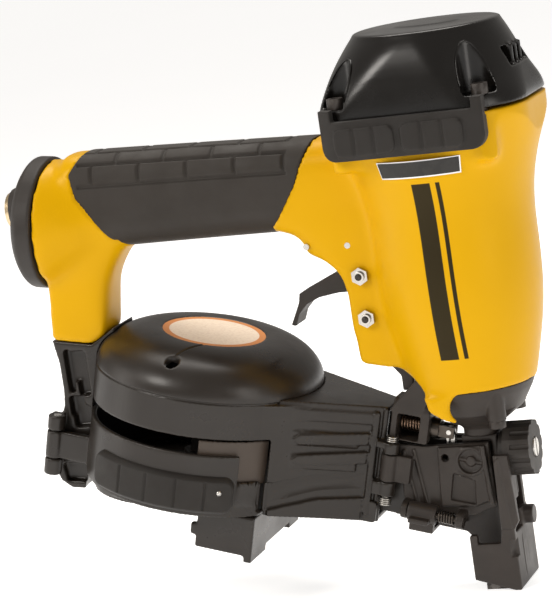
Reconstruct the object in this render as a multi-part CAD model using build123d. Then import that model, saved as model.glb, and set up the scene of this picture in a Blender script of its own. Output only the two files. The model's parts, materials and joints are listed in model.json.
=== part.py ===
from build123d import *
import os
from math import cos, pi, radians, sin

# Pneumatic coil roofing nailer. Millimetres, +Z up along the driver axis, +X forward (away from
# the handle), +Y to the far side. The origin is where the driver axis meets the work surface.

# ---- driving dimensions -------------------------------------------------------------------
CAP_TOP = 275.0  # top of the cap above the work
CAP_BASE = 236.2  # cap's lower face, on the gasket
HOUSING_TOP = 235.4  # housing's upper face, under the gasket
HOUSING_BASE = 101.0  # flat face that the nose flange bolts to
FLANGE_X, FLANGE_Y, FLANGE_R = 49.5, 44.0, 17.0  # half sizes and corner of the square top
SCREW_X = (32.0, -38.0)  # cap screws' x, in front and behind
SCREW_Y = 37.0

SLEEVE_R, SLEEVE_BORE = 27.0, 24.5
SLEEVE_BASE, SLEEVE_TOP = 112.0, 218.0
SEAL_Z = (116.0, 125.0)  # grooves of the sleeve's two seals
PISTON_BASE, PISTON_TOP = 198.0, 216.0
STROKE = 78.0
BLADE_R, BLADE_TIP = 4.0, 84.0
BUMPER_TOP = PISTON_BASE - STROKE - 0.5

GRIP_HALF = 18.0  # half width of the handle
GRIP_SKIN = 2.5  # thickness of the rubber
HANDLE_Z = 204.5

MAG_TILT = 15.0  # the magazine and the nail strip lean by this angle
MAG_ORIGIN = (-129.7, 0, 135.1)  # top centre of the canister
CAN_R, CAN_WALL = 56.9, 2.5
SKIRT_H, COVER_RIM_H, FLOOR_H = -38.3, -46.5, -75.0  # heights in the magazine's own frame
COVER_AXIS = (-72.0, -18.0)  # hinge of the cover, in the magazine's frame
COVER_REACH = 117.0  # the cover stays inside this radius about its hinge
CHANNEL_END = 96.0  # where the feed channel meets the nose
CHANNEL_HALF = 5.5  # half width of the nail strip's way

TRIGGER_AXIS = (-43.9, 159.9)  # x, z
GUIDE_AXIS = (-43.5, 139.1)
VALVE_X = -59.0
DOOR_AXIS = (100.0, -12.5)  # s, y in the magazine's frame
LATCH_AXIS = (-14.5, -66.0)  # y, h in the magazine's frame
FEED_AXIS = (-3.0, -26.0)  # y, h in the magazine's frame
PAWL_S = 126.0
WHEEL_Z, WHEEL_R = 66.1, 13.6
FOOT_HALF, FOOT_INNER = 17.6, 14.0  # half widths of the contact foot, outside and inside
FOOT_FRONT = 10.8  # inner side of the foot's front wall
EXIT_R = 6.2  # hole that the nail leaves through
RUN = 0.05  # radial clearance of a running fit
GAP = 0.3  # space between parts that move past each other

LOW = (Align.CENTER, Align.CENTER, Align.MIN)
MAG = Plane(
    origin=MAG_ORIGIN,
    x_dir=(cos(radians(MAG_TILT)), 0, -sin(radians(MAG_TILT))),
    z_dir=(sin(radians(MAG_TILT)), 0, cos(radians(MAG_TILT))),
)


# ---- small makers -------------------------------------------------------------------------
def post(radius, z0, z1, x=0.0, y=0.0):
    """A cylinder along Z."""
    return Pos(x, y, z0) * Cylinder(radius, z1 - z0, align=LOW)


def ring(outer, inner, z0, z1, x=0.0, y=0.0):
    """A tube along Z."""
    return post(outer, z0, z1, x, y) - post(inner, z0 - 1, z1 + 1, x, y)


def block(x0, x1, y0, y1, z0, z1):
    """A box between two corners."""
    return Pos((x0 + x1) / 2, (y0 + y1) / 2, (z0 + z1) / 2) * Box(x1 - x0, y1 - y0, z1 - z0)


def rod(start, end, radius):
    """A cylinder from one point to another."""
    way = Vector(*end) - Vector(*start)
    return Plane(origin=start, z_dir=way) * Cylinder(radius, way.length, align=LOW)


def slab(points, y0, y1):
    """A side outline of (x, z) points, carried from y0 to y1."""
    outline = make_face(Polyline(*[(x, y0, z) for x, z in points], close=True))
    return extrude(outline, amount=y1 - y0, dir=(0, 1, 0))


def plan(points, z0, z1):
    """A plan outline of (x, y) points, carried from z0 to z1."""
    outline = make_face(Polyline(*[(x, y, z0) for x, y in points], close=True))
    return extrude(outline, amount=z1 - z0, dir=(0, 0, 1))


def turned(points):
    """A solid of revolution about Z from straight (r, z) points."""
    return revolve(make_face(Polyline(*[(r, 0, z) for r, z in points], close=True)), Axis.Z)


def wedge(radius, start, end, z0, z1):
    """A pie slice about Z between two angles in degrees, the second the larger."""
    steps = max(2, int((end - start) / 30) + 1)
    far = radius / cos(radians((end - start) / steps / 2)) + 1
    angles = [radians(start + (end - start) * i / steps) for i in range(steps + 1)]
    return plan([(0, 0)] + [(far * cos(a), far * sin(a)) for a in angles], z0, z1)


def coil(radius, wire, turns, z0, z1):
    """A helical compression spring along Z with its ends inside z0 and z1."""
    height = z1 - z0 - 2 * wire
    path = Pos(0, 0, z0 + wire) * Helix(height / turns, height, radius)
    start = Plane(origin=path @ 0, z_dir=path % 0)
    return sweep(start * Circle(wire), path=path, is_frenet=True)


def save(name, shape):
    """One STEP file for a sub-part."""
    shape.label = name
    export_step(shape, f"parts/{name}.step")


# ---- motor housing ------------------------------------------------------------------------
def barrel(extra=0.0):
    """The outer form of the barrel: round below, clipped to a rounded square at the top."""
    outline = Polyline((0, 0, HOUSING_TOP), (54.5 + extra, 0, HOUSING_TOP), (53.5 + extra, 0, 231))
    side = Spline(
        (53.5 + extra, 0, 231),
        (46.5 + extra, 0, 215),
        (42.3 + extra, 0, 201),
        (40.4 + extra, 0, 190),
        (39.6 + extra, 0, 162),
        (37.8 + extra, 0, 136),
        (33.4 + extra, 0, 114),
        (30.2 + extra, 0, HOUSING_BASE),
    )
    foot = Polyline((30.2 + extra, 0, HOUSING_BASE), (0, 0, HOUSING_BASE), (0, 0, HOUSING_TOP))
    return revolve(make_face(outline + side + foot), Axis.Z) & square_top(extra)


def square_top(extra=0.0, z0=90.0, z1=CAP_TOP + 5):
    """The rounded square prism that the top flange and the cap share."""
    size = RectangleRounded(2 * (FLANGE_X + extra), 2 * (FLANGE_Y + extra), FLANGE_R + extra)
    return Pos(0, 0, z0) * extrude(size, amount=z1 - z0)


def handle_bar(inset=0.0):
    """The handle's bar, a rounded section that grows a little towards the rear."""
    stations = ((-28.0, 182.0, 225.0), (-105.0, 183.0, 228.0), (-192.0, 183.0, 231.0))
    faces = []
    for x, low, high in stations:
        spot = Plane(origin=(x, 0, (low + high) / 2), x_dir=(0, 1, 0), z_dir=(1, 0, 0))
        width, height = 2 * (GRIP_HALF - inset), high - low - 2 * inset
        faces.append(spot * RectangleRounded(width, height, 14.0 - inset))
    return loft(faces)


def end_plane(offset=0.0):
    """The tilted plane that closes the rear end; +Z of the plane points back."""
    tilt = radians(7)
    back = (-cos(tilt), 0, sin(tilt))
    start = (-206.0, 0, 197.0)
    return Plane(
        origin=(start[0] + back[0] * offset, 0, start[2] + back[2] * offset),
        x_dir=(0, 1, 0),
        z_dir=back,
    )


REAR_POST = [(-203, 203), (-208.5, 176), (-212, 139.3), (-191, 135.8), (-183, 140.2), (-177, 168)]
REAR_POST += [(-166, 184), (-172, 203)]
WEB = [(-34, 190), (-80, 190), (-86, 184), (-78, 182), (-73, 180), (-71, 175), (-71.5, 171)]
WEB += [(-66, 170), (-59, 166), (-54.5, 160), (-52.5, 151), (-52.5, 136), (-51.6, 129)]
WEB += [(-50.7, 116.5), (-34, 113)]
FRONT_LUG = [(-18, 101), (-16, 93), (-9, 88.5), (-1, 86), (-6, 92), (-4, 101)]


def cap_screw_bosses(radius, z0, z1):
    """The four round bosses of the cap screws, or their holes."""
    spots = [post(radius, z0, z1, x, side * SCREW_Y) for x in SCREW_X for side in (-1, 1)]
    return Part() + spots


def main_housing():
    body = barrel() + cap_screw_bosses(5.5, 212, HOUSING_TOP)
    body += handle_bar()
    body += slab(WEB, -GRIP_HALF, GRIP_HALF)
    body += end_plane(-26.0) * Cone(20.0, 33.0, 26.0, align=LOW)
    rear = slab(REAR_POST, -14, 14)
    body += fillet(rear.edges().filter_by(Axis.Y, reverse=True).group_by(Axis.Y)[-1], 5.0)
    body += slab(FRONT_LUG, -31, -27)
    # lower rear corner, above the feed channel
    body -= slab([(-70, 122), (-50.7, 116.5), (-24, 108), (-19.5, 103), (-18, 90), (-70, 90)], -50, 50)
    # rubber grip's seat
    body -= grip_skin()
    # cylinder bores, air ways and the floor
    body -= post(35.5, 156, HOUSING_TOP + 1)
    body -= post(33.0, 130, 157)
    body -= post(SLEEVE_R, SLEEVE_BASE, 131)
    body -= post(9.0, HOUSING_BASE - 1, SLEEVE_BASE + 1)
    body -= rod((-215, 0, HANDLE_Z), (-30, 0, HANDLE_Z), 12.0)
    body -= post(4.0, 184, 200, VALVE_X)
    # slot of the trigger and the contact arm, between the two cheeks
    body -= block(-95, -40.3, -8.4, 8.4, 100, 164.4)
    body -= slab([(-53, 100), (-29.5, 100), (-29.5, 116), (-46, 136.4), (-53, 136.4)], -3, 3)
    body -= post(9.2, 163, 186.4, VALVE_X)
    for x, z in (TRIGGER_AXIS, GUIDE_AXIS):
        body -= rod((x, -40, z), (x, 40, z), 2.5)
    body -= cap_screw_bosses(2.6, 214, HOUSING_TOP + 1)
    for piece in (end_cap_seal(), valve_pins(), bracket_screws(), nose_screws()):
        body -= piece
    return body


GRIP_SIDE = [(-60, 229), (-67, 215), (-71, 206), (-86, 184), (-87, 178), (-160, 178), (-163, 183)]
GRIP_SIDE += [(-171, 189), (-178, 199.5), (-185, 210), (-187, 222), (-179, 234), (-60, 234)]


def grip_skin():
    """The volume between the handle's skin and its core, inside the grip's side outline."""
    return (handle_bar() - handle_bar(GRIP_SKIN)) & slab(GRIP_SIDE, -25, 25)


def handle_grip():
    return grip_skin() - slab(REAR_POST, -14, 14) - slab(WEB, -GRIP_HALF, GRIP_HALF)


def end_cap():
    shell = end_plane() * Cylinder(33.0, 9.0, align=LOW)
    shell += end_plane(9.0) * Cone(33.0, 27.0, 7.0, align=LOW)
    shell += rod((-215, 0, 205), (-225.5, 0, 205), 13.0)
    shell -= rod((-200, 0, 200), (-215, 0, 200), 24.0)
    return shell - rod((-200, 0, 205), (-230, 0, 205), 9.0) - end_cap_seal()


def end_cap_seal():
    return end_plane(-1.5) * (Cylinder(29.0, 3.0, align=LOW) - Cylinder(25.5, 3.0, align=LOW))


def inlet_bushing():
    body = rod((-210, 0, 205), (-228, 0, 205), 9.0)
    return body - rod((-209, 0, 205), (-229, 0, 205), 5.6)


# ---- cap ----------------------------------------------------------------------------------
def cap_form():
    """The cap's outer form, a dome on the rounded square."""
    rim, top = (53.0, 0, 240), (34.7, 0, CAP_TOP - 1)
    side = Spline(rim, (46.5, 0, 247), (43.5, 0, 256), (39.5, 0, 265), top)
    frame = Polyline(top, (33.7, 0, CAP_TOP), (0, 0, CAP_TOP), (0, 0, CAP_BASE))
    frame += Polyline((0, 0, CAP_BASE), (55.0, 0, CAP_BASE), rim)
    return revolve(make_face(side + frame), Axis.Z) & square_top()


def cap():
    body = cap_form() - cap_screw_bosses(7.5, 243, 266)
    body -= ring(33.1, 10.0, CAP_BASE - 1, 253) + ring(30.0, 13.0, 252, 262)
    body -= cap_screw_bosses(2.6, CAP_BASE - 1, 250)
    # exhaust, through the front wall above the head valve
    body -= block(28, 60, -15, 15, 254, 260)
    stem = post(10.0, 222, CAP_BASE + 1)
    return body + stem


def cap_gasket():
    seal = Pos(0, 0, HOUSING_TOP) * extrude(
        RectangleRounded(2 * FLANGE_X - 2, 2 * FLANGE_Y - 2, FLANGE_R - 1), amount=CAP_BASE - HOUSING_TOP
    )
    return seal - post(35.5, 230, 240) - cap_screw_bosses(2.6, 230, 240)


def cap_screws():
    screws = []
    for x in SCREW_X:
        for side in (-1, 1):
            y = side * SCREW_Y
            head = post(3.9, 243, 248, x, y) - hexagon(2.3, 246, 249, x, y)
            screws.append(head + post(2.6, 215, 243, x, y))
    return Compound(screws)


def hexagon(radius, z0, z1, x=0.0, y=0.0):
    """A hexagonal prism along Z."""
    return Pos(x, y, z0) * extrude(RegularPolygon(radius, 6), amount=z1 - z0)


def side_bumper(side):
    """The rubber pad that wraps one long side of the cap and the top flange."""
    body = square_top(5.0, 217, 243.5) & block(-46, 38, 34, 60, 217, 243.5)
    body -= barrel()
    body -= cap_form()
    body -= cap_screw_bosses(5.5, 210, 250)
    body -= square_top(0.0, HOUSING_TOP - 1, CAP_BASE + 1)
    body -= block(-38, 30, 30, 60, 238, 250)
    for x in (-27, 13):
        body += block(x - 9, x + 9, FLANGE_Y + 2, FLANGE_Y + 5.5, 221, 234)
    return body if side > 0 else mirror(body, about=Plane.XZ)


def badge_plate():
    skin = barrel(0.9) - barrel()
    return skin & block(-19, 17, -60, -20, 207, 216.7)


# ---- drive --------------------------------------------------------------------------------
def cylinder_sleeve():
    body = ring(SLEEVE_R, SLEEVE_BORE, SLEEVE_BASE, SLEEVE_TOP)
    body += ring(35.4, SLEEVE_BORE, 156.02, 161)
    for z in SEAL_Z:
        body -= ring(SLEEVE_R + 1, 25.8, z, z + 2.6)
    for i in range(8):
        angle = 2 * pi * i / 8
        hole = (40 * cos(angle), 40 * sin(angle), 140)
        body -= rod((0, 0, 140), hole, 2.0)
    return body - post(SLEEVE_BORE, SLEEVE_BASE - 1, SLEEVE_TOP + 1)


def cylinder_seals():
    return Compound([ring(SLEEVE_R, 25.8, z + 0.1, z + 2.5) for z in SEAL_Z])


def piston():
    body = post(24.2, PISTON_BASE, PISTON_TOP) - post(14, PISTON_BASE + 8, PISTON_TOP + 1)
    body -= ring(26, 21.5, 204, 208)
    return body - post(BLADE_R, PISTON_BASE - 1, PISTON_BASE + 9)


def piston_ring():
    return ring(SLEEVE_BORE - RUN, 21.5, 204, 208)


def driver_blade():
    return post(BLADE_R, BLADE_TIP, PISTON_BASE + 8) + post(8.0, PISTON_BASE + 8, PISTON_BASE + 11)


def piston_bumper():
    return turned([(9, SLEEVE_BASE), (24.3, SLEEVE_BASE), (24.3, 115), (21, BUMPER_TOP), (9, BUMPER_TOP)])


def head_valve():
    body = ring(33.0, 14.0, 221.3, 238)
    return body - ring(26, 18, 229, 239)


def head_valve_seal():
    return ring(30.0, 21.0, SLEEVE_TOP + GAP, 221.3)


def head_valve_spring():
    return coil(21.8, 1.2, 5, 229.3, 261.7)


def piston_stop():
    return turned([(0, 217), (8, 217), (12.5, 219), (12.5, 222), (0, 222)])


# ---- trigger and valve --------------------------------------------------------------------
TRIGGER_SIDE = [(-40.8, 157), (-40.8, 161.5), (-41.8, 162.6), (-47, 163), (-62, 159.5)]
TRIGGER_SIDE += [(-80, 151.6), (-81, 147), (-86.4, 136.3), (-83, 135.5), (-76, 140.5), (-66, 145)]
TRIGGER_SIDE += [(-56, 146), (-54, 154)]
TRIP_LEVER_SIDE = [(-76, 149.5), (-76, 152), (-63, 158.5), (-49, 159.2), (-48, 156.6), (-60, 155)]
TRIGGER_POCKET = [(-40, 150), (-40, 165), (-63, 163), (-78, 154), (-77.5, 147), (-66, 148), (-56, 149)]


def trigger():
    body = slab(TRIGGER_SIDE, -7.6, 7.6) - slab(TRIGGER_POCKET, -4.6, 4.6)
    x, z = TRIGGER_AXIS
    body -= rod((x, -9, z), (x, 9, z), 2.5 + RUN)
    return body - block(-56, -40, -4.6, 4.6, 130, 155)


def trip_lever():
    """Rides inside the trigger, over the end of the contact arm."""
    return slab(TRIP_LEVER_SIDE, -3.6, 3.6)


def cheek_bolts():
    """The trigger's pivot bolt and the guide bolt below it, each with a hexagon head and a nut."""
    length = GRIP_HALF + 4
    bolts = []
    for x, z in (TRIGGER_AXIS, GUIDE_AXIS):
        bolt = rod((x, -length, z), (x, length, z), 2.5)
        for side in (-1, 1):
            spot = Plane(origin=(x, side * GRIP_HALF, z), z_dir=(0, side, 0))
            bolt += spot * extrude(RegularPolygon(4.4, 6), amount=2.6)
        bolts.append(bolt)
    return Compound(bolts)


def valve_pins():
    pins = [rod((x, -GRIP_HALF, z), (x, GRIP_HALF, z), 1.5) for x, z in ((-69.3, 176), (-48.5, 175))]
    return Compound(pins)


def valve_body():
    body = post(9.2, 164.5, 186.4, VALVE_X) - post(5.5, 170, 183.5, VALVE_X)
    body -= post(2.0 + RUN, 160, 171, VALVE_X) + post(3.9, 183, 187, VALVE_X)
    # the web's lower edge slopes across the bottom of the valve
    below = [(-75, 175), (-71, 175), (-71.5, 171), (-66, 170), (-59, 166), (-54.5, 160), (-75, 160)]
    return body - valve_pins() - slab(below, -20, 20)


def valve_stem():
    tip = Pos(VALVE_X, 0, 163.9) * Sphere(2.0)
    return tip + post(2.0, 163.9, 172.5, VALVE_X) + post(4.6, 172.5, 175.0, VALVE_X)


def valve_spring():
    return Pos(VALVE_X, 0, 0) * coil(3.4, 0.4, 4, 175.1, 183.4)


# ---- nose ---------------------------------------------------------------------------------
FLANGE_SCREWS = ((14.0, 19.5), (14.0, -19.5), (-10.0, 21.0))


def nose_flange():
    side = [(0, 101), (29.4, 101), (27.7, 97), (22.4, 88), (14, 82), (11.5, 81), (8.8, 78.5), (8.8, 75)]
    body = turned(side + [(0, 75)])
    body -= block(-40, -19, -40, 40, 70, 102) + post(BLADE_R + 0.1, 70, 102)
    for x, y in FLANGE_SCREWS:
        body += post(4.6, 85, 100.9, x, y)
    body -= post(3.6, 70, 84, -2, 16)
    body -= slab(FRONT_LUG, -31, -27)
    body -= block(-24, -8, -7, 3, 70, 83)
    return body - nose_screws()


def nose_screws():
    screws = []
    for x, y in FLANGE_SCREWS:
        head = post(4.0, 81.5, 85, x, y) - hexagon(2.2, 81, 83.5, x, y)
        screws.append(head + post(2.2, 85, 105.5, x, y))
    return Compound(screws)


NOSE_FAR = [(-45, 76.5), (-25, 71.5), (-8, 70), (-8, 14), (-16, 24), (-38, 30), (-45, 50)]


def nose_body():
    body = block(-9, 8.5, -5.9, 10, 10.5, 75) + slab(NOSE_FAR, CHANNEL_HALF, 9.5)
    body += rod((5, 0, WHEEL_Z), (9.2, 0, WHEEL_Z), 5.0)
    body += block(5.5, 8.5, -8.4, 8.4, 42, 57)
    for y0, y1 in ((-8.4, -6.4), (6.4, 8.4)):
        body += block(5.5, 12, y0, y1, 42, 57)
    body -= post(CHANNEL_HALF, 9, 72) + block(-CHANNEL_HALF, CHANNEL_HALF, -7, 0, 9, 72)
    body -= block(-12, 0, -7, CHANNEL_HALF, 12, 72)
    body -= post(BLADE_R + 0.1, 70, 76)
    body += in_mag(block(104, 138, -5.5, 6, -72.6, -70))
    body -= rod((0, 0, WHEEL_Z), (12, 0, WHEEL_Z), 2.2)
    return body & block(-60, 12, -8.4, 9.5, 10.5, 80)


def in_mag(shape):
    """A shape drawn in the magazine's frame, put in its place."""
    return MAG * shape


def along_s(radius, s0, s1, y, h):
    """A cylinder along the nail strip, in the magazine's frame."""
    return rod((s0, y, h), (s1, y, h), radius)


def feed_cylinder():
    y, h = FEED_AXIS
    body = block(98, 117, -12, 8, -33, -17) + along_s(8.5, 98, 117, -3.5, -19)
    body -= block(101, 112.4, -13, y + 6, h - 6.2, h + 6.2)
    body -= along_s(5.0 + RUN, 112, 118, y, h)
    # the pawl swings back into this slot
    body -= block(112, 118, y - 2.6, y + 2.6, -34, h)
    body &= block(98, 117, -12, 8, -33, -12.5)
    # the gusset that closes the space up to the barrel
    gusset = slab([(-41, 92), (-24.5, 107), (-21, 103), (-20.5, 95), (-25, 89), (-38, 88)], -12, -5)
    gusset -= in_mag(block(100, 114, -13, FEED_AXIS[0] + 6, -34, FEED_AXIS[1] + 6.2))
    gusset -= in_mag(along_s(5.0 + GAP, 100, 122, y, h))
    return in_mag(body) + gusset


def feed_spring():
    y, h = FEED_AXIS
    spot = Plane(origin=(101, y, h), x_dir=(0, 1, 0), z_dir=(1, 0, 0))
    return in_mag(spot * coil(3.2, 0.45, 7, 0, 11))


def feed_piston():
    y, h = FEED_AXIS
    body = along_s(5.0, 112.8, 121, y, h) - along_s(4.0, 112, 120, y, h)
    body += block(121, PAWL_S + 2.5, y - 4.0, y + 4.0, h - 2.8, h + 2.8)
    body -= block(122, PAWL_S + 3, y - 2.3, y + 2.3, h - 4, h + 4)
    return in_mag(body - rod((PAWL_S, y - 5, h), (PAWL_S, y + 5, h), 1.2))


def pawl_pin():
    y, h = FEED_AXIS
    return in_mag(rod((PAWL_S, y - 4.0, h), (PAWL_S, y + 4.0, h), 1.2))


def feed_pawl():
    y, h = FEED_AXIS
    eye = rod((PAWL_S, y - 2, h), (PAWL_S, y + 2, h), 2.4)
    side = [(PAWL_S - 2, h), (PAWL_S + 2.4, h), (PAWL_S + 6, h - 17), (PAWL_S + 1, h - 15)]
    finger = slab(side, y - 2, y + 2)
    return in_mag(eye + finger - rod((PAWL_S, y - 5, h), (PAWL_S, y + 5, h), 1.2 + RUN))


def hinge_knuckles(axis, radius, spans):
    """Round knuckles along the magazine's height at a hinge axis."""
    return Part() + [post(radius, h0, h1, axis[0], axis[1]) for h0, h1 in spans]


DOOR_PIN_R, COVER_PIN_R = 1.5, 2.0


def nose_door():
    plate = slab([(-40, 74), (-28, 72), (5, 72), (5, 40), (-6, 36.5), (-28, 35.5), (-41, 47)], -9.5, -6.2)
    plate += slab([(-20, 71), (-9, 71), (-4, 60), (-5, 44), (-22, 42)], -11.5, -9.5)
    plate -= rod((-17, -20, 66), (-17, 0, 66), 1.9)
    plate -= block(-13.5, -4.5, -12, -9, 43, 59) + block(-9, 4, -12, -8.2, 58, 68)
    body = plate + in_mag(door_hinge_leaf() + door_latch_lugs())
    body -= in_mag(post(DOOR_PIN_R + RUN, -90, -20, *DOOR_AXIS))
    body -= in_mag(along_s(1.5, 100, 160, *LATCH_AXIS))
    return body - in_mag(hinge_knuckles(DOOR_AXIS, 4.3, [(-70, -54.2), (-40.3, -20)]))


def door_hinge_leaf():
    s, y = DOOR_AXIS
    leaf = hinge_knuckles(DOOR_AXIS, 4.0, [(-54, -40.5)])
    return leaf + block(s, s + 11, y - 1, -6.2, -54, -40.5)


def door_latch_lugs():
    y, h = LATCH_AXIS
    lugs = Part()
    for s0, s1 in ((137, 141), (109.5, 112.7)):
        lugs += along_s(4.2, s0, s1, y, h) + block(s0, s1, y, -7, h - 1, h + 4.2)
    return lugs


def door_latch():
    y, h = LATCH_AXIS
    body = along_s(4.8, 113, 127, y, h) + block(114, 126, y, 4, h - 9.6, h - 7.2)
    body += block(114, 126, y - 1, y + 3, h - 9.6, h)
    body += block(115, 125, y - 9, y, h - 3.5, h - 1)
    return in_mag(body - along_s(1.5 + RUN, 112, 128, y, h))


def latch_spring():
    y, h = LATCH_AXIS
    spot = Plane(origin=(127.5, y, h), x_dir=(0, 1, 0), z_dir=(1, 0, 0))
    return in_mag(spot * coil(2.6, 0.5, 6, 0, 9))


def latch_pin():
    return in_mag(along_s(1.5, 109.5, 141, *LATCH_AXIS))


def door_hinge_pin():
    return in_mag(post(DOOR_PIN_R, -62, -33, *DOOR_AXIS))


# ---- contact foot and depth setting -------------------------------------------------------
FOOT_SIDE = [(-8.4, 6), (11, 0), (14.4, 0), (14.4, 30), (17, 34), (15.5, 67), (8.5, 67), (8.0, 30)]
FOOT_SIDE += [(6.9, 23.5), (-4.6, 23.5), (-4.6, 28), (-8.4, 28)]
FOOT_FAR = [(-8.4, 6), (11, 0), (14.4, 0), (14.4, 30), (12, 34), (12, 70), (-4, 70), (-4, 62), (4, 60)]
FOOT_FAR += [(6, 30), (-8.4, 28)]


def contact_foot():
    body = slab(FOOT_SIDE, -FOOT_HALF, -FOOT_INNER) + slab(FOOT_FAR, FOOT_INNER, FOOT_HALF)
    body += block(FOOT_FRONT, 14.4, -FOOT_HALF, FOOT_HALF, 0, 28)
    body += block(12.4, 14.4, -1, 9, 27, 36)
    body += rod((14, 4, 32), (19.5, 4, 32), 4.6)
    return body - block(9, 20, -3.5, 3.5, 8, 20)


def foot_plate():
    """The plate across the foot, with the hole that the nail leaves through."""
    return block(-4, FOOT_FRONT, -FOOT_INNER, FOOT_INNER, 0, 3) - post(EXIT_R, -1, 4)


def trip_arm():
    """Runs back from the foot on the far side, crosses over the channel and climbs to the trigger."""
    side = [(-4, 62), (-4, 70), (-24, 72), (-30, 80), (-30, 102.4), (-36, 102.4), (-36, 79), (-27, 66)]
    arm = slab(side, 14.2, 17.2) + block(-36, -30, -2.2, 17.2, 98.6, 102.4)
    riser = [(-36, 98.6), (-30, 98.6), (-30, 108), (-46.4, 128), (-46.4, 147), (-52, 147), (-52, 126)]
    return arm + slab(riser + [(-36, 106)], -2.2, 2.2)


def contact_spring():
    return Pos(-2, 16, 0) * coil(2.4, 0.4, 5, 70.1, 83.9)


CAM_LOW, CAM_RISE = 6.0, 5.0  # the spiral cam's smallest radius, and its rise in 270 degrees


def depth_wheel():
    spot = Plane(origin=(12.3, 0, WHEEL_Z), x_dir=(0, 1, 0), z_dir=(1, 0, 0))
    body = spot * extrude(RegularPolygon(WHEEL_R, 12), amount=13.1)
    body += spot * cam_plate()
    for i in range(12):
        angle = 2 * pi * (i + 0.5) / 12
        spoke = (0, WHEEL_R * cos(angle), WHEEL_Z + WHEEL_R * sin(angle))
        body -= rod((16, spoke[1], spoke[2]), (27, spoke[1], spoke[2]), 1.3)
    body -= rod((0, 0, WHEEL_Z), (30, 0, WHEEL_Z), 2.2 + RUN)
    return body - rod((22.4, 0, WHEEL_Z), (30, 0, WHEEL_Z), 5.0)


def cam_plate():
    """The spiral on the wheel's rear face; its lowest radius points down at rest."""
    points = []
    for i in range(19):
        turn = 270.0 * i / 18
        radius = CAM_LOW + CAM_RISE * turn / 270.0
        angle = radians(-90.0 + turn)
        points.append((radius * cos(angle), radius * sin(angle)))
    spiral = Spline(*points)
    face = make_face(spiral + Line(points[-1], points[0]))
    return extrude(face, amount=-2.8)


def depth_stop():
    top = WHEEL_Z - CAM_LOW - 0.35
    body = block(9.4, 12, -6, 6, 40.6, 55) + plan([(9.4, -3), (12, -3), (12, 3), (9.4, 3)], 54, top - 1)
    return body + rod((9.4, 0, top - 1.5), (12, 0, top - 1.5), 1.5)


def wheel_screw():
    shank = rod((5, 0, WHEEL_Z), (22.7, 0, WHEEL_Z), 2.2)
    head = rod((22.7, 0, WHEEL_Z), (26, 0, WHEEL_Z), 4.5)
    return shank + head - block(24.8, 27, -0.7, 0.7, WHEEL_Z - 5, WHEEL_Z + 5)


# ---- magazine -----------------------------------------------------------------------------
def dome(radius, shoulder, height=0.0, base=SKIRT_H):
    """The canister's outer form, a flat top and an elliptical shoulder, down to base."""
    flat = 28.0
    arc = [
        (flat + (radius - flat) * sin(radians(a)), 0, height - shoulder * (1 - cos(radians(a))))
        for a in range(0, 91, 15)
    ]
    edge = Polyline((0, 0, base), (0, 0, height), arc[0]) + Spline(*arc)
    return revolve(make_face(edge + Polyline(arc[-1], (radius, 0, base), (0, 0, base))), Axis.Z)


def canister():
    shell = dome(CAN_R, 20.0) - dome(CAN_R - CAN_WALL, 20.0, -3.0, SKIRT_H - 1)
    # the skirt reaches lower beside the feed channel and on the far side
    deep = ring(CAN_R, CAN_R - CAN_WALL, FLOOR_H, SKIRT_H + 1)
    shell += deep & wedge(70, 30, 67.5, FLOOR_H, -10)
    shell += (ring(CAN_R, CAN_R - CAN_WALL, -59, SKIRT_H + 1)) & wedge(70, -42, -30, -70, -10)
    shell -= post(25.9, -0.8, 1)
    shell -= channel_way()
    shell -= post(COVER_REACH + 0.6, -90, COVER_RIM_H + 0.5, *COVER_AXIS)
    hole = 47.0
    shell -= post(3.4, -40, 5, hole * cos(radians(-95)), hole * sin(radians(-95)))
    return in_mag(shell)


def canister_label():
    return in_mag(post(25.7, -0.8, -0.3))


NEAR_WALL = ((46.6, -32.6), (CHANNEL_END, -9.0))
FAR_WALL = ((46.6, 32.6), (CHANNEL_END, 10.5))


def channel_plan(inset, start=20.0, end=CHANNEL_END):
    """The feed channel's plan outline, drawn in by inset on both sides."""
    near, far = NEAR_WALL, FAR_WALL
    rise_near = (near[1][1] - near[0][1]) / (near[1][0] - near[0][0])
    rise_far = (far[1][1] - far[0][1]) / (far[1][0] - far[0][0])
    return [
        (start, near[0][1] + rise_near * (start - near[0][0]) + inset),
        (end, near[1][1] + rise_near * (end - near[1][0]) + inset),
        (end, far[1][1] + rise_far * (end - far[1][0]) - inset),
        (start, far[0][1] + rise_far * (start - far[0][0]) - inset),
    ]


def channel_way(inset=2.5):
    """The space that the nail strip runs through, from the canister to the nose."""
    return plan(channel_plan(inset, 20, CHANNEL_END + 1), FLOOR_H, -21.0)


def feed_channel():
    walls = plan(channel_plan(0.0), FLOOR_H - 2.5, -18.5) - channel_way()
    walls -= post(CAN_R, -90, 5)
    floor = post(CAN_R, FLOOR_H - 2.5, FLOOR_H) & plan(channel_plan(0.0, 0.0), -90, 0)
    walls += floor
    # the cover's own room, about its hinge
    walls -= post(COVER_REACH + 0.6, -90, COVER_RIM_H + 0.5, *COVER_AXIS) & post(CAN_R + 0.2, -90, -20)
    # window along the foot of the near wall
    walls -= block(52, 88, -45, -10, -66, -56)
    # pressed ribs of the near wall
    for low, high in ((-40, -33), (-52, -45)):
        walls += rib_on_wall(low, high)
    # carrier of the door hinge, and the far wall's joint with the nose
    walls += block(CHANNEL_END - 3, DOOR_AXIS[0], DOOR_AXIS[1] - 3, -9.5, -37.7, -34.5)
    walls += block(CHANNEL_END - 3, DOOR_AXIS[0], DOOR_AXIS[1] - 3, -9.5, -61.5, -55)
    walls += hinge_knuckles(DOOR_AXIS, 4.0, [(-61.5, -54.3), (-40.2, -34.5)])
    walls -= hinge_knuckles(DOOR_AXIS, DOOR_PIN_R, [(-70, -30)])
    walls -= hinge_knuckles(DOOR_AXIS, 4.3, [(-54.3, -40.2)])
    return in_mag(walls)


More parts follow.
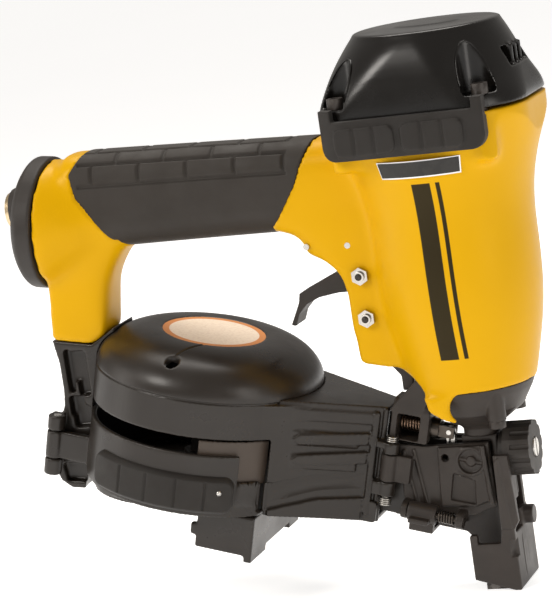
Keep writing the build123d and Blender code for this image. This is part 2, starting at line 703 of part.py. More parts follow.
def rib_on_wall(low, high):
    """A raised bar on the near wall between two heights."""
    (s0, y0), (s1, y1) = NEAR_WALL
    slope = (y1 - y0) / (s1 - s0)
    a, b = 55.0, 84.0
    near_a, near_b = y0 + slope * (a - s0), y0 + slope * (b - s0)
    return plan([(a, near_a - 1.2), (b, near_b - 1.2), (b, near_b + 1), (a, near_a + 1)], low, high)


def magazine_cover():
    """The swinging lower half: a floor and a wall, with an ear to the hinge."""
    wall = ring(CAN_R, CAN_R - CAN_WALL, FLOOR_H - 2.5, COVER_RIM_H) - wedge(70, -41, 69, -90, -30)
    floor = post(CAN_R, FLOOR_H - 2.5, FLOOR_H) & post(COVER_REACH, -90, 0, *COVER_AXIS)
    body = wall + floor
    body += post(24, FLOOR_H - 4.5, FLOOR_H - 2.5, -20, -26)
    ear = block(COVER_AXIS[0], -50, COVER_AXIS[1] - 2, COVER_AXIS[1] + 2, FLOOR_H, -61)
    body += ear + hinge_knuckles(COVER_AXIS, 4.5, [(FLOOR_H, -61)])
    body -= hinge_knuckles(COVER_AXIS, COVER_PIN_R + RUN, [(-100, -40)])
    body -= post(6.0, FLOOR_H - 1.5, FLOOR_H + 20)
    body -= in_guide_screws()
    return in_mag(body)


def cover_pad():
    pad = ring(60.5, CAN_R, -75, -57) & wedge(70, -133, -54, -80, -50)
    for angle in (-111, -96, -82):
        a = radians(angle)
        pad -= post(0.9, -76, -56, 60.9 * cos(a), 60.9 * sin(a))
    return in_mag(pad)


def nail_post():
    return in_mag(post(6.0, FLOOR_H - 1.5, -40.5))


def nail_platform():
    body = ring(24.0, 6.0 + RUN, -72.5, -70.5) + ring(9.0, 6.0 + RUN, -72.5, -62)
    for i in range(6):
        angle = 2 * pi * i / 6
        body -= post(4.0, -80, -60, 16 * cos(angle), 16 * sin(angle))
    return in_mag(body)


def cover_hinge_pin():
    return in_mag(post(COVER_PIN_R, -84, -53, *COVER_AXIS))


BRACKET = [(-212, 139.3), (-191, 135.8), (-183, 140.2), (-174, 146), (-160, 146), (-176, 128)]
BRACKET += [(-187, 112), (-196, 92), (-204, 72), (-196, 66), (-196, 61), (-214, 63), (-219, 67)]
BRACKET += [(-222, 74), (-222, 86), (-220, 92), (-214.5, 97), (-211, 106), (-210, 114), (-210, 127)]


def magazine_bracket():
    body = slab(BRACKET, -13, 13)
    body -= in_mag(post(CAN_R, -100, -20) + dome(CAN_R, 20.0))
    for low, high in ((117, 133), (100, 110), (78, 90)):
        shift = (117 - low) * 0.1
        body -= block(-206 - shift, -198 - shift, -14, -8, low, high)
    body += in_mag(bracket_knuckles())
    body -= in_mag(hinge_knuckles(COVER_AXIS, COVER_PIN_R, [(-100, -40)]))
    body -= in_mag(hinge_knuckles(COVER_AXIS, 5.0, [(FLOOR_H - 0.4, -60.6)]))
    return body - bracket_screws()


def bracket_knuckles():
    s, y = COVER_AXIS
    body = hinge_knuckles(COVER_AXIS, 4.5, [(-60.6, -53), (-84, -75.4)])
    for low, high in ((-60.6, -53), (-84, -75.4)):
        body += block(s - 4, s + 2, y, -12.5, low, high)
    return body


def bracket_screws():
    return Compound([post(3.6, 122, 126, x) + post(2.2, 126, 152, x) for x in (-206, -197)])


# ---- shingle guide ------------------------------------------------------------------------
GUIDE_SCREWS = ((27.0, -20.0), (27.0, 20.0))
GUIDE_TRAVEL = 8.0


def in_guide_screws():
    screws = Part()
    for s, y in GUIDE_SCREWS:
        screws += post(2.5, FLOOR_H - 9, FLOOR_H - 0.5, s, y) + post(4.5, FLOOR_H - 9, FLOOR_H - 6, s, y)
    return screws


def guide_screws():
    return in_mag(Compound(in_guide_screws().solids()))


def shingle_guide():
    top = FLOOR_H - 2.5 - GAP
    body = block(14, 43.3, -40, 36, top - 2.5, top)
    body += block(14, 43.3, -40, -37, -98, top) + block(39.5, 43.3, -40, 36, -101, top)
    body += block(11, 14, -40, -37, -92, -86)
    body -= slab([(44, -86), (39, -86), (39, -102), (44, -102)], -16, 20)
    for s, y in GUIDE_SCREWS:
        slot = block(s - GUIDE_TRAVEL, s + GUIDE_TRAVEL, y - 2.8, y + 2.8, -90, -70)
        slot += post(2.8, -90, -70, s - GUIDE_TRAVEL, y) + post(2.8, -90, -70, s + GUIDE_TRAVEL, y)
        body -= slot
    return in_mag(body)


# ---- all sub-parts ------------------------------------------------------------------------
SUB_PARTS = {
    "main_housing": main_housing,
    "handle_grip": handle_grip,
    "end_cap": end_cap,
    "end_cap_seal": end_cap_seal,
    "inlet_bushing": inlet_bushing,
    "cap": cap,
    "cap_gasket": cap_gasket,
    "cap_screws": cap_screws,
    "bumper_right": lambda: side_bumper(-1),
    "bumper_left": lambda: side_bumper(1),
    "badge_plate": badge_plate,
    "cylinder_sleeve": cylinder_sleeve,
    "cylinder_seals": cylinder_seals,
    "piston": piston,
    "piston_ring": piston_ring,
    "driver_blade": driver_blade,
    "piston_bumper": piston_bumper,
    "head_valve": head_valve,
    "head_valve_seal": head_valve_seal,
    "head_valve_spring": head_valve_spring,
    "piston_stop": piston_stop,
    "trigger": trigger,
    "trip_lever": trip_lever,
    "cheek_bolts": cheek_bolts,
    "valve_pins": valve_pins,
    "valve_body": valve_body,
    "valve_stem": valve_stem,
    "valve_spring": valve_spring,
    "nose_flange": nose_flange,
    "nose_screws": nose_screws,
    "nose_body": nose_body,
    "nose_door": nose_door,
    "door_hinge_pin": door_hinge_pin,
    "door_latch": door_latch,
    "latch_pin": latch_pin,
    "latch_spring": latch_spring,
    "feed_cylinder": feed_cylinder,
    "feed_spring": feed_spring,
    "feed_piston": feed_piston,
    "feed_pawl": feed_pawl,
    "pawl_pin": pawl_pin,
    "contact_foot": contact_foot,
    "foot_plate": foot_plate,
    "trip_arm": trip_arm,
    "contact_spring": contact_spring,
    "depth_wheel": depth_wheel,
    "depth_stop": depth_stop,
    "wheel_screw": wheel_screw,
    "canister": canister,
    "canister_label": canister_label,
    "feed_channel": feed_channel,
    "magazine_cover": magazine_cover,
    "cover_pad": cover_pad,
    "cover_hinge_pin": cover_hinge_pin,
    "magazine_bracket": magazine_bracket,
    "bracket_screws": bracket_screws,
    "nail_post": nail_post,
    "nail_platform": nail_platform,
    "shingle_guide": shingle_guide,
    "guide_screws": guide_screws,
}

os.makedirs("parts", exist_ok=True)
for name, make in SUB_PARTS.items():
    save(name, make())
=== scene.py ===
"""Looks of a pneumatic coil roofing nailer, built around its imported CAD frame."""
import json
import math

import bmesh
import bpy
import numpy as np
from mathutils import Matrix, Vector


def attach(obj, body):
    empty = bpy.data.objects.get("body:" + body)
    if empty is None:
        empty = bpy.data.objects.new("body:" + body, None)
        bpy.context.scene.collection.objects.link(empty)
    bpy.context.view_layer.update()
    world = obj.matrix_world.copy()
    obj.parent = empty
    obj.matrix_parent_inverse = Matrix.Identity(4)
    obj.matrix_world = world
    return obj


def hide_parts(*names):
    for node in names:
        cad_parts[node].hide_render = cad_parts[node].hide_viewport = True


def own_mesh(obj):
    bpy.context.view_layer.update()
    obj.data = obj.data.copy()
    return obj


MM = 0.001
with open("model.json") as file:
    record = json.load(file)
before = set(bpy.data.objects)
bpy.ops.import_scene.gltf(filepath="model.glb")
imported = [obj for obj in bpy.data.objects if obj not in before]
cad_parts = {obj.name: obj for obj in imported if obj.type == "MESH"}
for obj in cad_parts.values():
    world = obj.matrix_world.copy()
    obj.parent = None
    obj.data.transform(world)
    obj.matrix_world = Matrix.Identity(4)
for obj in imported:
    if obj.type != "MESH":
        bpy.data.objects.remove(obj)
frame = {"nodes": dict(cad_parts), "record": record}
NODES = frame["nodes"]
NODE_BODY = {n: b for b, members in frame["record"]["behaviour"]["bodies"].items() for n in members}
NODE_SLOT = {s["node"]: s["material_slot"] for s in frame["record"]["subparts"]}
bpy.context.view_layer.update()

# The magazine and the nail strip lean by this angle about the canister's top centre.
MAG_TILT = math.radians(15.0)
MAG_ORIGIN = Vector((-129.7, 0.0, 135.1))
MAG_S = Vector((math.cos(MAG_TILT), 0.0, -math.sin(MAG_TILT)))
MAG_H = Vector((math.sin(MAG_TILT), 0.0, math.cos(MAG_TILT)))


def in_mag(s, y, h):
    """The place in the tool's frame of a point of the magazine's own frame, both in millimetres."""
    return MAG_ORIGIN + MAG_S * s + Vector((0, y, 0)) + MAG_H * h


# ---- camera and studio --------------------------------------------------------------------
VIEW_AZIMUTH, VIEW_ELEVATION, VIEW_ROLL = (math.radians(a) for a in (20.39, 10.13, 8.50))
VIEW_TARGET = Vector((-95.1, 0.0, 148.1)) * MM
VIEW_DISTANCE = 1.3972
LENS = 170.96


def add_camera():
    """The camera at the reference viewing angle, rolled about its own axis."""
    a, e, r = VIEW_AZIMUTH, VIEW_ELEVATION, VIEW_ROLL
    back = Vector((math.sin(a) * math.cos(e), -math.cos(a) * math.cos(e), math.sin(e)))
    right = Vector((math.cos(a), math.sin(a), 0.0))
    up = back.cross(right)
    across = right * math.cos(r) - up * math.sin(r)
    upward = right * math.sin(r) + up * math.cos(r)
    data = bpy.data.cameras.new("camera")
    data.sensor_width = 36.0
    data.lens = LENS
    data.clip_end = 20.0
    camera = bpy.data.objects.new("camera", data)
    bpy.context.scene.collection.objects.link(camera)
    turn = Matrix((across, upward, back)).transposed().to_4x4()
    camera.matrix_world = Matrix.Translation(VIEW_TARGET + back * VIEW_DISTANCE) @ turn
    bpy.context.scene.camera = camera


WARM = (1.0, 0.955, 0.90)
SURROUND_STRENGTH = 0.36
LIGHT_AIM = Vector((-0.1, 0.0, 0.15))
# Each light's name, its place and its two sizes in metres, and its power in watts.
LIGHTS = (
    ("key", (-0.75, -1.05, 1.05), (0.45, 0.45), 9.0),
    ("fill", (1.25, -0.75, 0.45), (0.5, 0.9), 4.5),
    ("left", (-1.3, -0.35, 0.5), (0.4, 0.8), 3.2),
    ("top", (-0.15, 0.35, 1.25), (0.9, 0.6), 10.0),
)


def add_light(name, place, size, power):
    """A warm rectangular area light pointed at the object's middle."""
    data = bpy.data.lights.new(name, "AREA")
    data.shape = "RECTANGLE"
    data.size, data.size_y = size
    data.energy = power
    data.color = WARM
    light = bpy.data.objects.new(name, data)
    bpy.context.scene.collection.objects.link(light)
    light.location = place
    light.rotation_euler = (LIGHT_AIM - Vector(place)).to_track_quat("-Z", "Y").to_euler()


def add_surround():
    """A dim warm surround for the object, seen as plain white behind it."""
    world = bpy.data.worlds.new("world")
    world.use_nodes = True
    tree = world.node_tree
    lit = tree.nodes["Background"]
    lit.inputs["Color"].default_value = (*WARM, 1.0)
    lit.inputs["Strength"].default_value = SURROUND_STRENGTH
    seen = tree.nodes.new("ShaderNodeBackground")
    seen.inputs["Color"].default_value = (1.0, 1.0, 1.0, 1.0)
    rays = tree.nodes.new("ShaderNodeLightPath")
    mix = tree.nodes.new("ShaderNodeMixShader")
    tree.links.new(rays.outputs["Is Camera Ray"], mix.inputs["Fac"])
    tree.links.new(lit.outputs["Background"], mix.inputs[1])
    tree.links.new(seen.outputs["Background"], mix.inputs[2])
    tree.links.new(mix.outputs["Shader"], tree.nodes["World Output"].inputs["Surface"])
    bpy.context.scene.world = world


def add_studio():
    """A pale floor under the foot, a white surround and soft lights."""
    bpy.ops.mesh.primitive_plane_add(size=12.0, location=(0, 0, 0))
    floor = bpy.context.object
    floor.name = "floor"
    floor.data.materials.append(floor_white())
    add_surround()
    for light in LIGHTS:
        add_light(*light)
    view = bpy.context.scene.view_settings
    view.view_transform = "Standard"
    view.look = "None"


# ---- materials ----------------------------------------------------------------------------
class Shader:
    """A principled material with short calls for the procedural detail the pieces share."""

    def __init__(self, name, colour, roughness, metallic=0.0, coat=0.0, specular=0.5):
        self.material = bpy.data.materials.new(name)
        self.material.use_nodes = True
        self.tree = self.material.node_tree
        self.surface = self.tree.nodes["Principled BSDF"]
        self.place = self.tree.nodes.new("ShaderNodeTexCoord").outputs["Object"]
        self.set("Base Color", (*colour, 1.0))
        self.set("Roughness", roughness)
        self.set("Metallic", metallic)
        self.set("Coat Weight", coat)
        self.set("Coat Roughness", 0.25)
        self.set("Specular IOR Level", specular)
        self.height = None

    def set(self, socket, value):
        """Sets a constant on the shader's own socket."""
        self.surface.inputs[socket].default_value = value

    def link(self, source, target):
        self.tree.links.new(source, target)

    def node(self, kind, **values):
        """A new node of a kind, with its settings."""
        made = self.tree.nodes.new(kind)
        for key, value in values.items():
            setattr(made, key, value)
        return made

    def noise(self, scale, detail=4.0, stretch=(1.0, 1.0, 1.0), roughness=0.6):
        """Noise in object space; scale is in features per metre."""
        spread = self.node("ShaderNodeMapping")
        spread.inputs["Scale"].default_value = stretch
        self.link(self.place, spread.inputs["Vector"])
        made = self.node("ShaderNodeTexNoise")
        made.inputs["Scale"].default_value = scale
        made.inputs["Detail"].default_value = detail
        made.inputs["Roughness"].default_value = roughness
        self.link(spread.outputs["Vector"], made.inputs["Vector"])
        return made.outputs["Fac"]

    def ramp(self, source, low, high, start=0.35, stop=0.65):
        """Maps a noise onto a value between low and high."""
        made = self.node("ShaderNodeMapRange")
        made.inputs["From Min"].default_value = start
        made.inputs["From Max"].default_value = stop
        made.inputs["To Min"].default_value = low
        made.inputs["To Max"].default_value = high
        self.link(source, made.inputs["Value"])
        return made.outputs["Result"]

    def band(self, axis, low, high, soft=0.15):
        """One between two coordinates in mm along an axis, nought outside, with a short soft edge."""
        split = self.node("ShaderNodeSeparateXYZ")
        self.link(self.place, split.inputs["Vector"])
        rise = self.ramp(split.outputs[axis], 0.0, 1.0, (low - soft) * MM, (low + soft) * MM)
        fall = self.ramp(split.outputs[axis], 1.0, 0.0, (high - soft) * MM, (high + soft) * MM)
        return self.times(rise, fall)

    def times(self, one, other):
        """The product of two outputs."""
        made = self.node("ShaderNodeMath", operation="MULTIPLY")
        self.link(one, made.inputs[0])
        self.link(other, made.inputs[1])
        return made.outputs["Value"]

    def vary_roughness(self, scale, low, high):
        """Lets the roughness wander between two values."""
        self.link(self.ramp(self.noise(scale), low, high), self.surface.inputs["Roughness"])

    def tint(self, factor, other):
        """Mixes another colour in, over what the base colour is so far."""
        mix = self.node("ShaderNodeMix", data_type="RGBA")
        base = self.surface.inputs["Base Color"]
        if base.is_linked:
            self.link(base.links[0].from_socket, mix.inputs["A"])
        else:
            mix.inputs["A"].default_value = base.default_value
        mix.inputs["B"].default_value = (*other, 1.0)
        self.link(factor, mix.inputs["Factor"])
        self.link(mix.outputs["Result"], base)

    def bump(self, source, strength, distance):
        """Adds a bump on top of the bumps so far; distance is in metres."""
        made = self.node("ShaderNodeBump")
        made.inputs["Strength"].default_value = strength
        made.inputs["Distance"].default_value = distance
        self.link(source, made.inputs["Height"])
        if self.height:
            self.link(self.height, made.inputs["Normal"])
        self.height = made.outputs["Normal"]
        self.link(self.height, self.surface.inputs["Normal"])

    def worn_edges(self, colour, amount):
        """Lets a lighter colour through along convex edges, broken up by noise."""
        edge = self.node("ShaderNodeNewGeometry").outputs["Pointiness"]
        sharp = self.ramp(edge, 0.0, 1.0, 0.535, 0.60)
        broken = self.ramp(self.noise(240.0), 0.0, amount, 0.45, 0.6)
        self.tint(self.times(sharp, broken), colour)


FLOOR_GLOW = 0.62


def floor_white():
    """A white floor that glows a little, so that it runs into the white surround."""
    floor = Shader("floor_white", (0.93, 0.93, 0.93), 0.7, specular=0.1)
    floor.set("Emission Color", (1.0, 1.0, 1.0, 1.0))
    floor.set("Emission Strength", FLOOR_GLOW)
    floor.tint(floor.ramp(floor.noise(3.0), 0.0, 0.4), (0.90, 0.90, 0.90))
    return floor.material


# Plain painted stripes down the barrel's near side, in mm: their widths along X and their span in Z.
STRIPES = ((-5.0, 4.0), (6.5, 8.5))
STRIPE_SPAN = (119.0, 205.0)


def yellow_paint():
    """Powder-coated casting: fine orange peel and faint uneven gloss."""
    paint = Shader("yellow_paint", (0.67, 0.36, 0.0), 0.38, coat=0.03, specular=0.25)
    paint.set("Specular Tint", (1.0, 0.80, 0.35, 1.0))
    paint.vary_roughness(26.0, 0.32, 0.44)
    paint.tint(paint.ramp(paint.noise(9.0), 0.0, 0.35), (0.61, 0.32, 0.0))
    paint.worn_edges((0.86, 0.50, 0.03), 0.5)
    near_side = paint.band("Y", -60.0, -8.0)
    for low, high in STRIPES:
        stripe = paint.times(paint.band("X", low, high), paint.band("Z", *STRIPE_SPAN))
        paint.tint(paint.times(stripe, near_side), (0.014, 0.010, 0.006))
    paint.bump(paint.noise(900.0, 2.0), 0.10, 0.0004)
    return paint.material


def rubber(name, colour, grain=2600.0):
    """Moulded rubber: matt, a fine grain and a dusty sheen."""
    soft = Shader(name, colour, 0.62, specular=0.35)
    soft.vary_roughness(60.0, 0.54, 0.70)
    soft.set("Sheen Weight", 0.05)
    soft.set("Sheen Roughness", 0.5)
    soft.tint(soft.ramp(soft.noise(34.0), 0.0, 0.5), tuple(c * 1.35 for c in colour))
    soft.bump(soft.noise(grain, 3.0), 0.22, 0.0003)
    return soft.material


def moulded(name, colour, low, high, grain=1500.0, depth=0.10, coat=0.0):
    """Moulded plastic: roughness between low and high, a fine spark texture and scuffs."""
    plastic = Shader(name, colour, low, coat=coat, specular=0.4)
    plastic.vary_roughness(32.0, low, high)
    scuffs = plastic.noise(60.0, 5.0, (0.35, 1.0, 2.2))
    plastic.tint(plastic.ramp(scuffs, 0.0, 0.35, 0.5, 0.8), tuple(c * 1.6 for c in colour))
    plastic.worn_edges(tuple(c * 2.4 for c in colour), 0.5)
    plastic.bump(plastic.noise(grain, 2.0), depth, 0.0003)
    return plastic.material


def coated_metal(name, colour, low, high, grain=700.0, wear=0.7):
    """Black-coated casting or pressing: a sandy grain, with metal showing at worn edges."""
    metal = Shader(name, colour, low, metallic=0.12, specular=0.42)
    metal.vary_roughness(45.0, low, high)
    metal.tint(metal.ramp(metal.noise(70.0), 0.0, 0.5), tuple(c * 1.5 for c in colour))
    metal.worn_edges((0.20, 0.18, 0.165), wear)
    metal.bump(metal.noise(grain, 3.0), 0.16, 0.0004)
    return metal.material


def bare_metal(name, colour, low, high, brush=(1.0, 1.0, 1.0), scale=400.0):
    """Plated, turned or drawn metal, with fine tool marks along one direction."""
    metal = Shader(name, colour, low, metallic=1.0)
    metal.link(metal.ramp(metal.noise(scale, 3.0, brush), low, high), metal.surface.inputs["Roughness"])
    metal.tint(metal.ramp(metal.noise(90.0), 0.0, 0.4), tuple(c * 0.78 for c in colour))
    metal.bump(metal.noise(scale * 2, 2.0, brush), 0.06, 0.0002)
    return metal.material


LABEL_R = 25.7


def label_paper():
    """A blank cream disc with a plain orange ring near its edge and faint mottling."""
    paper = Shader("label_paper", (0.98, 0.83, 0.67), 0.42, specular=0.4)
    paper.tint(paper.ramp(paper.noise(700.0, 3.0), 0.0, 0.55, 0.45, 0.7), (0.78, 0.60, 0.46))
    centre = in_mag(0.0, 0.0, 0.0) * MM
    offset = paper.node("ShaderNodeVectorMath", operation="DISTANCE")
    offset.inputs[1].default_value = centre
    paper.link(paper.place, offset.inputs[0])
    ring = paper.ramp(offset.outputs["Value"], 0.0, 1.0, (LABEL_R - 3.4) * MM, (LABEL_R - 3.1) * MM)
    paper.tint(ring, (0.72, 0.27, 0.07))
    return paper.material


PLASTIC = (0.0175, 0.0135, 0.0105)
CASTING = (0.024, 0.0185, 0.015)


def make_materials():
    """One material for each of the record's material slots."""
    return {
        "yellow_paint": yellow_paint(),
        "grip_rubber": rubber("grip_rubber", (0.022, 0.0175, 0.0138)),
        "cap_plastic": moulded("cap_plastic", (0.0050, 0.0040, 0.0032), 0.20, 0.30, 1800.0, 0.05, coat=0.04),
        "bumper_rubber": rubber("bumper_rubber", (0.0125, 0.0100, 0.0080)),
        "nose_metal": coated_metal("nose_metal", CASTING, 0.38, 0.55),
        "coated_steel": coated_metal("coated_steel", (0.027, 0.021, 0.0175), 0.36, 0.52, 500.0),
        "magazine_plastic": moulded("magazine_plastic", PLASTIC, 0.26, 0.40),
        "matte_black": moulded("matte_black", (0.022, 0.0175, 0.0145), 0.45, 0.60, 1200.0, 0.2),
        "steel": bare_metal("steel", (0.62, 0.60, 0.57), 0.22, 0.40, (1.0, 1.0, 8.0)),
        "chrome": bare_metal("chrome", (0.55, 0.52, 0.48), 0.12, 0.24),
        "spring_steel": bare_metal("spring_steel", (0.42, 0.40, 0.37), 0.24, 0.38),
        "copper_wire": bare_metal("copper_wire", (0.74, 0.47, 0.30), 0.20, 0.34),
        "brass_fitting": bare_metal("brass_fitting", (0.66, 0.52, 0.33), 0.22, 0.36, (8.0, 1.0, 1.0)),
        "aluminium": bare_metal("aluminium", (0.72, 0.72, 0.72), 0.28, 0.42, (1.0, 1.0, 9.0)),
        "seal_rubber": rubber("seal_rubber", (0.020, 0.018, 0.016)),
        "label_paper": label_paper(),
        "black_plate": moulded("black_plate", (0.010, 0.009, 0.008), 0.35, 0.45, 1200.0, 0.05),
    }


# ---- shape tools --------------------------------------------------------------------------
def object_of(name, mesh):
    """A new object in the scene with a mesh."""
    made = bpy.data.objects.new(name, mesh)
    bpy.context.scene.collection.objects.link(made)
    return made


def from_bmesh(name, bm):
    """A new object from a bmesh, its faces turned outwards."""
    mesh = bpy.data.meshes.new(name)
    bmesh.ops.recalc_face_normals(bm, faces=bm.faces)
    bm.to_mesh(mesh)
    bm.free()
    return object_of(name, mesh)


def side_view(a, b, c):
    """Outline in the tool's side view (x, z), carried along Y."""
    return (a, c, b)


def mag_plan(a, b, c):
    """Outline in the magazine's plan (s, y), carried along its height."""
    return in_mag(a, b, c)


def mag_side(a, b, c):
    """Outline in the magazine's side view (s, h), carried along Y."""
    return in_mag(a, c, b)


def prism(outline, span, place=side_view):
    """A closed prism: outline points in mm, carried from one end of the span to the other."""
    bm = bmesh.new()
    low, high = span
    first = [bm.verts.new(Vector(place(a, b, low)) * MM) for a, b in outline]
    last = [bm.verts.new(Vector(place(a, b, high)) * MM) for a, b in outline]
    bm.faces.new(first)
    bm.faces.new(last)
    for i in range(len(outline)):
        j = (i + 1) % len(outline)
        bm.faces.new((first[i], first[j], last[j], last[i]))
    bmesh.ops.triangulate(bm, faces=bm.faces)
    return from_bmesh("prism", bm)


def box(lo, hi, place=side_view):
    """A box between two corners, given as (first, second, carried) of the place function."""
    outline = [(lo[0], lo[1]), (hi[0], lo[1]), (hi[0], hi[1]), (lo[0], hi[1])]
    return prism(outline, (lo[2], hi[2]), place)


def round_box(lo, hi, radius, place=side_view):
    """A box whose outline has round corners."""
    centres = [(hi[0] - radius, hi[1] - radius), (lo[0] + radius, hi[1] - radius)]
    centres += [(lo[0] + radius, lo[1] + radius), (hi[0] - radius, lo[1] + radius)]
    outline = []
    for k, (a, b) in enumerate(centres):
        for step in range(7):
            angle = math.radians(90.0 * k + 15.0 * step)
            outline.append((a + radius * math.cos(angle), b + radius * math.sin(angle)))
    return prism(outline, (lo[2], hi[2]), place)


def rod(start, end, radius, sides=40, name="rod", end_radius=None):
    """A closed cylinder or cone between two points in mm."""
    start, end = Vector(start), Vector(end)
    way = end - start
    bm = bmesh.new()
    far = radius if end_radius is None else end_radius
    bmesh.ops.create_cone(
        bm, cap_ends=True, segments=sides, radius1=radius * MM, radius2=far * MM, depth=way.length * MM
    )
    turn = way.to_track_quat("Z", "Y").to_matrix().to_4x4()
    bmesh.ops.transform(bm, matrix=Matrix.Translation((start + end) / 2 * MM) @ turn, verts=bm.verts)
    return from_bmesh(name, bm)


def lathe(profile, start, axis, name="lathe", sides=128):
    """A closed solid turned about an axis; profile points are (radius, distance along) in mm."""
    axis = Vector(axis).normalized()
    across = axis.orthogonal().normalized()
    other = axis.cross(across)
    bm = bmesh.new()
    rings = []
    for radius, along in profile:
        centre = Vector(start) + axis * along
        if radius < 1e-6:
            rings.append([bm.verts.new(centre * MM)])
            continue
        ring = []
        for i in range(sides):
            angle = 2 * math.pi * i / sides
            spoke = across * math.cos(angle) + other * math.sin(angle)
            ring.append(bm.verts.new((centre + spoke * radius) * MM))
        rings.append(ring)
    for low, high in zip(rings, rings[1:] + rings[:1]):
        for i in range(sides):
            j = (i + 1) % sides
            corners = [low[i % len(low)], low[j % len(low)], high[j % len(high)], high[i % len(high)]]
            corners = list(dict.fromkeys(corners))
            if len(corners) > 2:
                bm.faces.new(corners)
    return from_bmesh(name, bm)


def wire(points, radius, name):
    """A round wire through points in mm, as a mesh."""
    curve = bpy.data.curves.new(name, "CURVE")
    curve.dimensions = "3D"
    curve.bevel_depth = radius * MM
    curve.bevel_resolution = 4
    curve.use_fill_caps = True
    spline = curve.splines.new("POLY")
    spline.points.add(len(points) - 1)
    for spot, point in zip(spline.points, points):
        spot.co = (*(Vector(point) * MM), 1.0)
    holder = bpy.data.objects.new(name, curve)
    bpy.context.scene.collection.objects.link(holder)
    bpy.context.view_layer.update()
    mesh = bpy.data.meshes.new_from_object(holder)
    bpy.data.objects.remove(holder)
    mesh.shade_smooth()
    return object_of(name, mesh)


def helix(start, axis, radius, turns, length, wire_radius, name, steps=28):
    """A coil spring about an axis, with a number of steps in each turn."""
    axis = Vector(axis).normalized()
    across = axis.orthogonal().normalized()
    other = axis.cross(across)
    points = []
    for i in range(int(turns * steps) + 1):
        angle = 2 * math.pi * i / steps
        spoke = across * math.cos(angle) + other * math.sin(angle)
        points.append(Vector(start) + axis * (length * i / (turns * steps)) + spoke * radius)
    return wire(points, wire_radius, name)


def apply_modifiers(obj):
    """Leaves the object with the mesh that its modifiers make."""
    bpy.context.view_layer.update()
    done = bpy.data.meshes.new_from_object(obj.evaluated_get(bpy.context.evaluated_depsgraph_get()))
    obj.modifiers.clear()
    old = obj.data
    obj.data = done
    bpy.data.meshes.remove(old)


WELD_GAP = 0.00002  # metres; points closer than this are one


def welded_copy(node, name):
    """A free copy of a CAD node's mesh, with its split edges welded."""
    made = object_of(name, NODES[node].data.copy())
    made.data.materials.clear()
    bm = bmesh.new()
    bm.from_mesh(made.data)
    bmesh.ops.remove_doubles(bm, verts=bm.verts, dist=WELD_GAP)
    bm.to_mesh(made.data)
    bm.free()
    return made


def cut(obj, cutters, solver="EXACT"):
    """Takes the cutters out of obj and removes them."""
    for cutter in cutters:
        step = obj.modifiers.new("cut", "BOOLEAN")
        step.operation = "DIFFERENCE"
        step.solver = solver
        step.object = cutter
    apply_modifiers(obj)
    for cutter in cutters:
        bpy.data.objects.remove(cutter)


def carve(obj, cutters):
    """Takes the cutters out one by one; both obj and the cutters have to be closed skins."""
    for cutter in cutters:
        cut(obj, [cutter], "MANIFOLD")


def join(obj, others):
    """Puts the meshes of others into obj."""
    bm = bmesh.new()
    bm.from_mesh(obj.data)
    for other in others:
        bm.from_mesh(other.data)
        bpy.data.objects.remove(other)
    bm.to_mesh(obj.data)
    bm.free()


def remesh(obj, voxel):
    """Turns overlapping closed shells into one even skin."""
    step = obj.modifiers.new("skin", "REMESH")
    step.mode = "VOXEL"
    step.voxel_size = voxel * MM
    step.adaptivity = 0.0
    apply_modifiers(obj)


def skin_of(node, voxel, adds=()):
    """A free copy of a CAD node as one even skin, with more shapes added to it."""
    made = welded_copy(node, node + "_skin")
    if adds:
        join(made, adds)
    remesh(made, voxel)
    return made


def close_corners(obj, radius, voxel):
    """Rounds the inside corners: grows the skin, lets it merge, and shrinks it back."""
    for way in (radius, -radius):
        step = obj.modifiers.new("grow", "DISPLACE")
        step.mid_level = 0.0
        step.strength = way * MM
        apply_modifiers(obj)
        remesh(obj, voxel)


def within(a, b, outline):
    """True for each point (a, b) that is inside a closed outline."""
    inside = np.zeros(len(a), bool)
    for (a0, b0), (a1, b1) in zip(outline, outline[1:] + outline[:1]):
        if b0 != b1:
            crosses = (b0 > b) != (b1 > b)
            inside ^= crosses & (a < a0 + (a1 - a0) * (b - b0) / (b1 - b0))
    return inside


def coordinates(obj):
    """The object's vertices as an array of millimetres."""
    flat = np.empty(len(obj.data.vertices) * 3)
    obj.data.vertices.foreach_get("co", flat)
    return flat.reshape(-1, 3) / MM


def set_coordinates(obj, points):
    """Moves the object's vertices to an array of millimetres."""
    obj.data.vertices.foreach_set("co", (points * MM).ravel())
    obj.data.update()


def relax(obj, times, weight=None):
    """Smooths the skin by moving each vertex towards its neighbours' middle."""
    points = coordinates(obj)
    edges = np.empty(len(obj.data.edges) * 2, np.int64)
    obj.data.edges.foreach_get("vertices", edges)
    a, b = edges.reshape(-1, 2).T
    both, other = np.concatenate((a, b)), np.concatenate((b, a))
    count = np.bincount(both, minlength=len(points))
    share = 0.5 if weight is None else 0.5 * weight(points)[:, None]
    for _ in range(times):
        middle = np.stack([np.bincount(both, points[other, k], len(points)) for k in range(3)], 1)
        points += share * (middle / count[:, None] - points)
    set_coordinates(obj, points)


MATERIALS = make_materials()


def finish_piece(obj, body, slot, smooth=True):
    """Gives a piece the material of a slot and attaches it to its body."""
    obj.data.materials.clear()
    obj.data.materials.append(MATERIALS[slot])
    if smooth:
        obj.data.shade_smooth()
    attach(obj, body)
    return obj


def cast(node, voxel, times, adds=(), cuts=(), shape=None):
    """Replaces a CAD node by a softened casting, with details cut, added or shaped by a function."""
    made = welded_copy(node, node + "_skin")
    if cuts:
        cut(made, cuts)
    if adds:
        join(made, adds)
    remesh(made, voxel)
    relax(made, times)
    if shape:
        shape(made)
    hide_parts(node)
    return finish_piece(made, NODE_BODY[node], NODE_SLOT[node])


def detail(obj, near, slot=None):
    """A new small piece that rides with the CAD node it belongs to."""
    return finish_piece(obj, NODE_BODY[near], slot or NODE_SLOT[near])


EDGE_BEVEL = 0.25


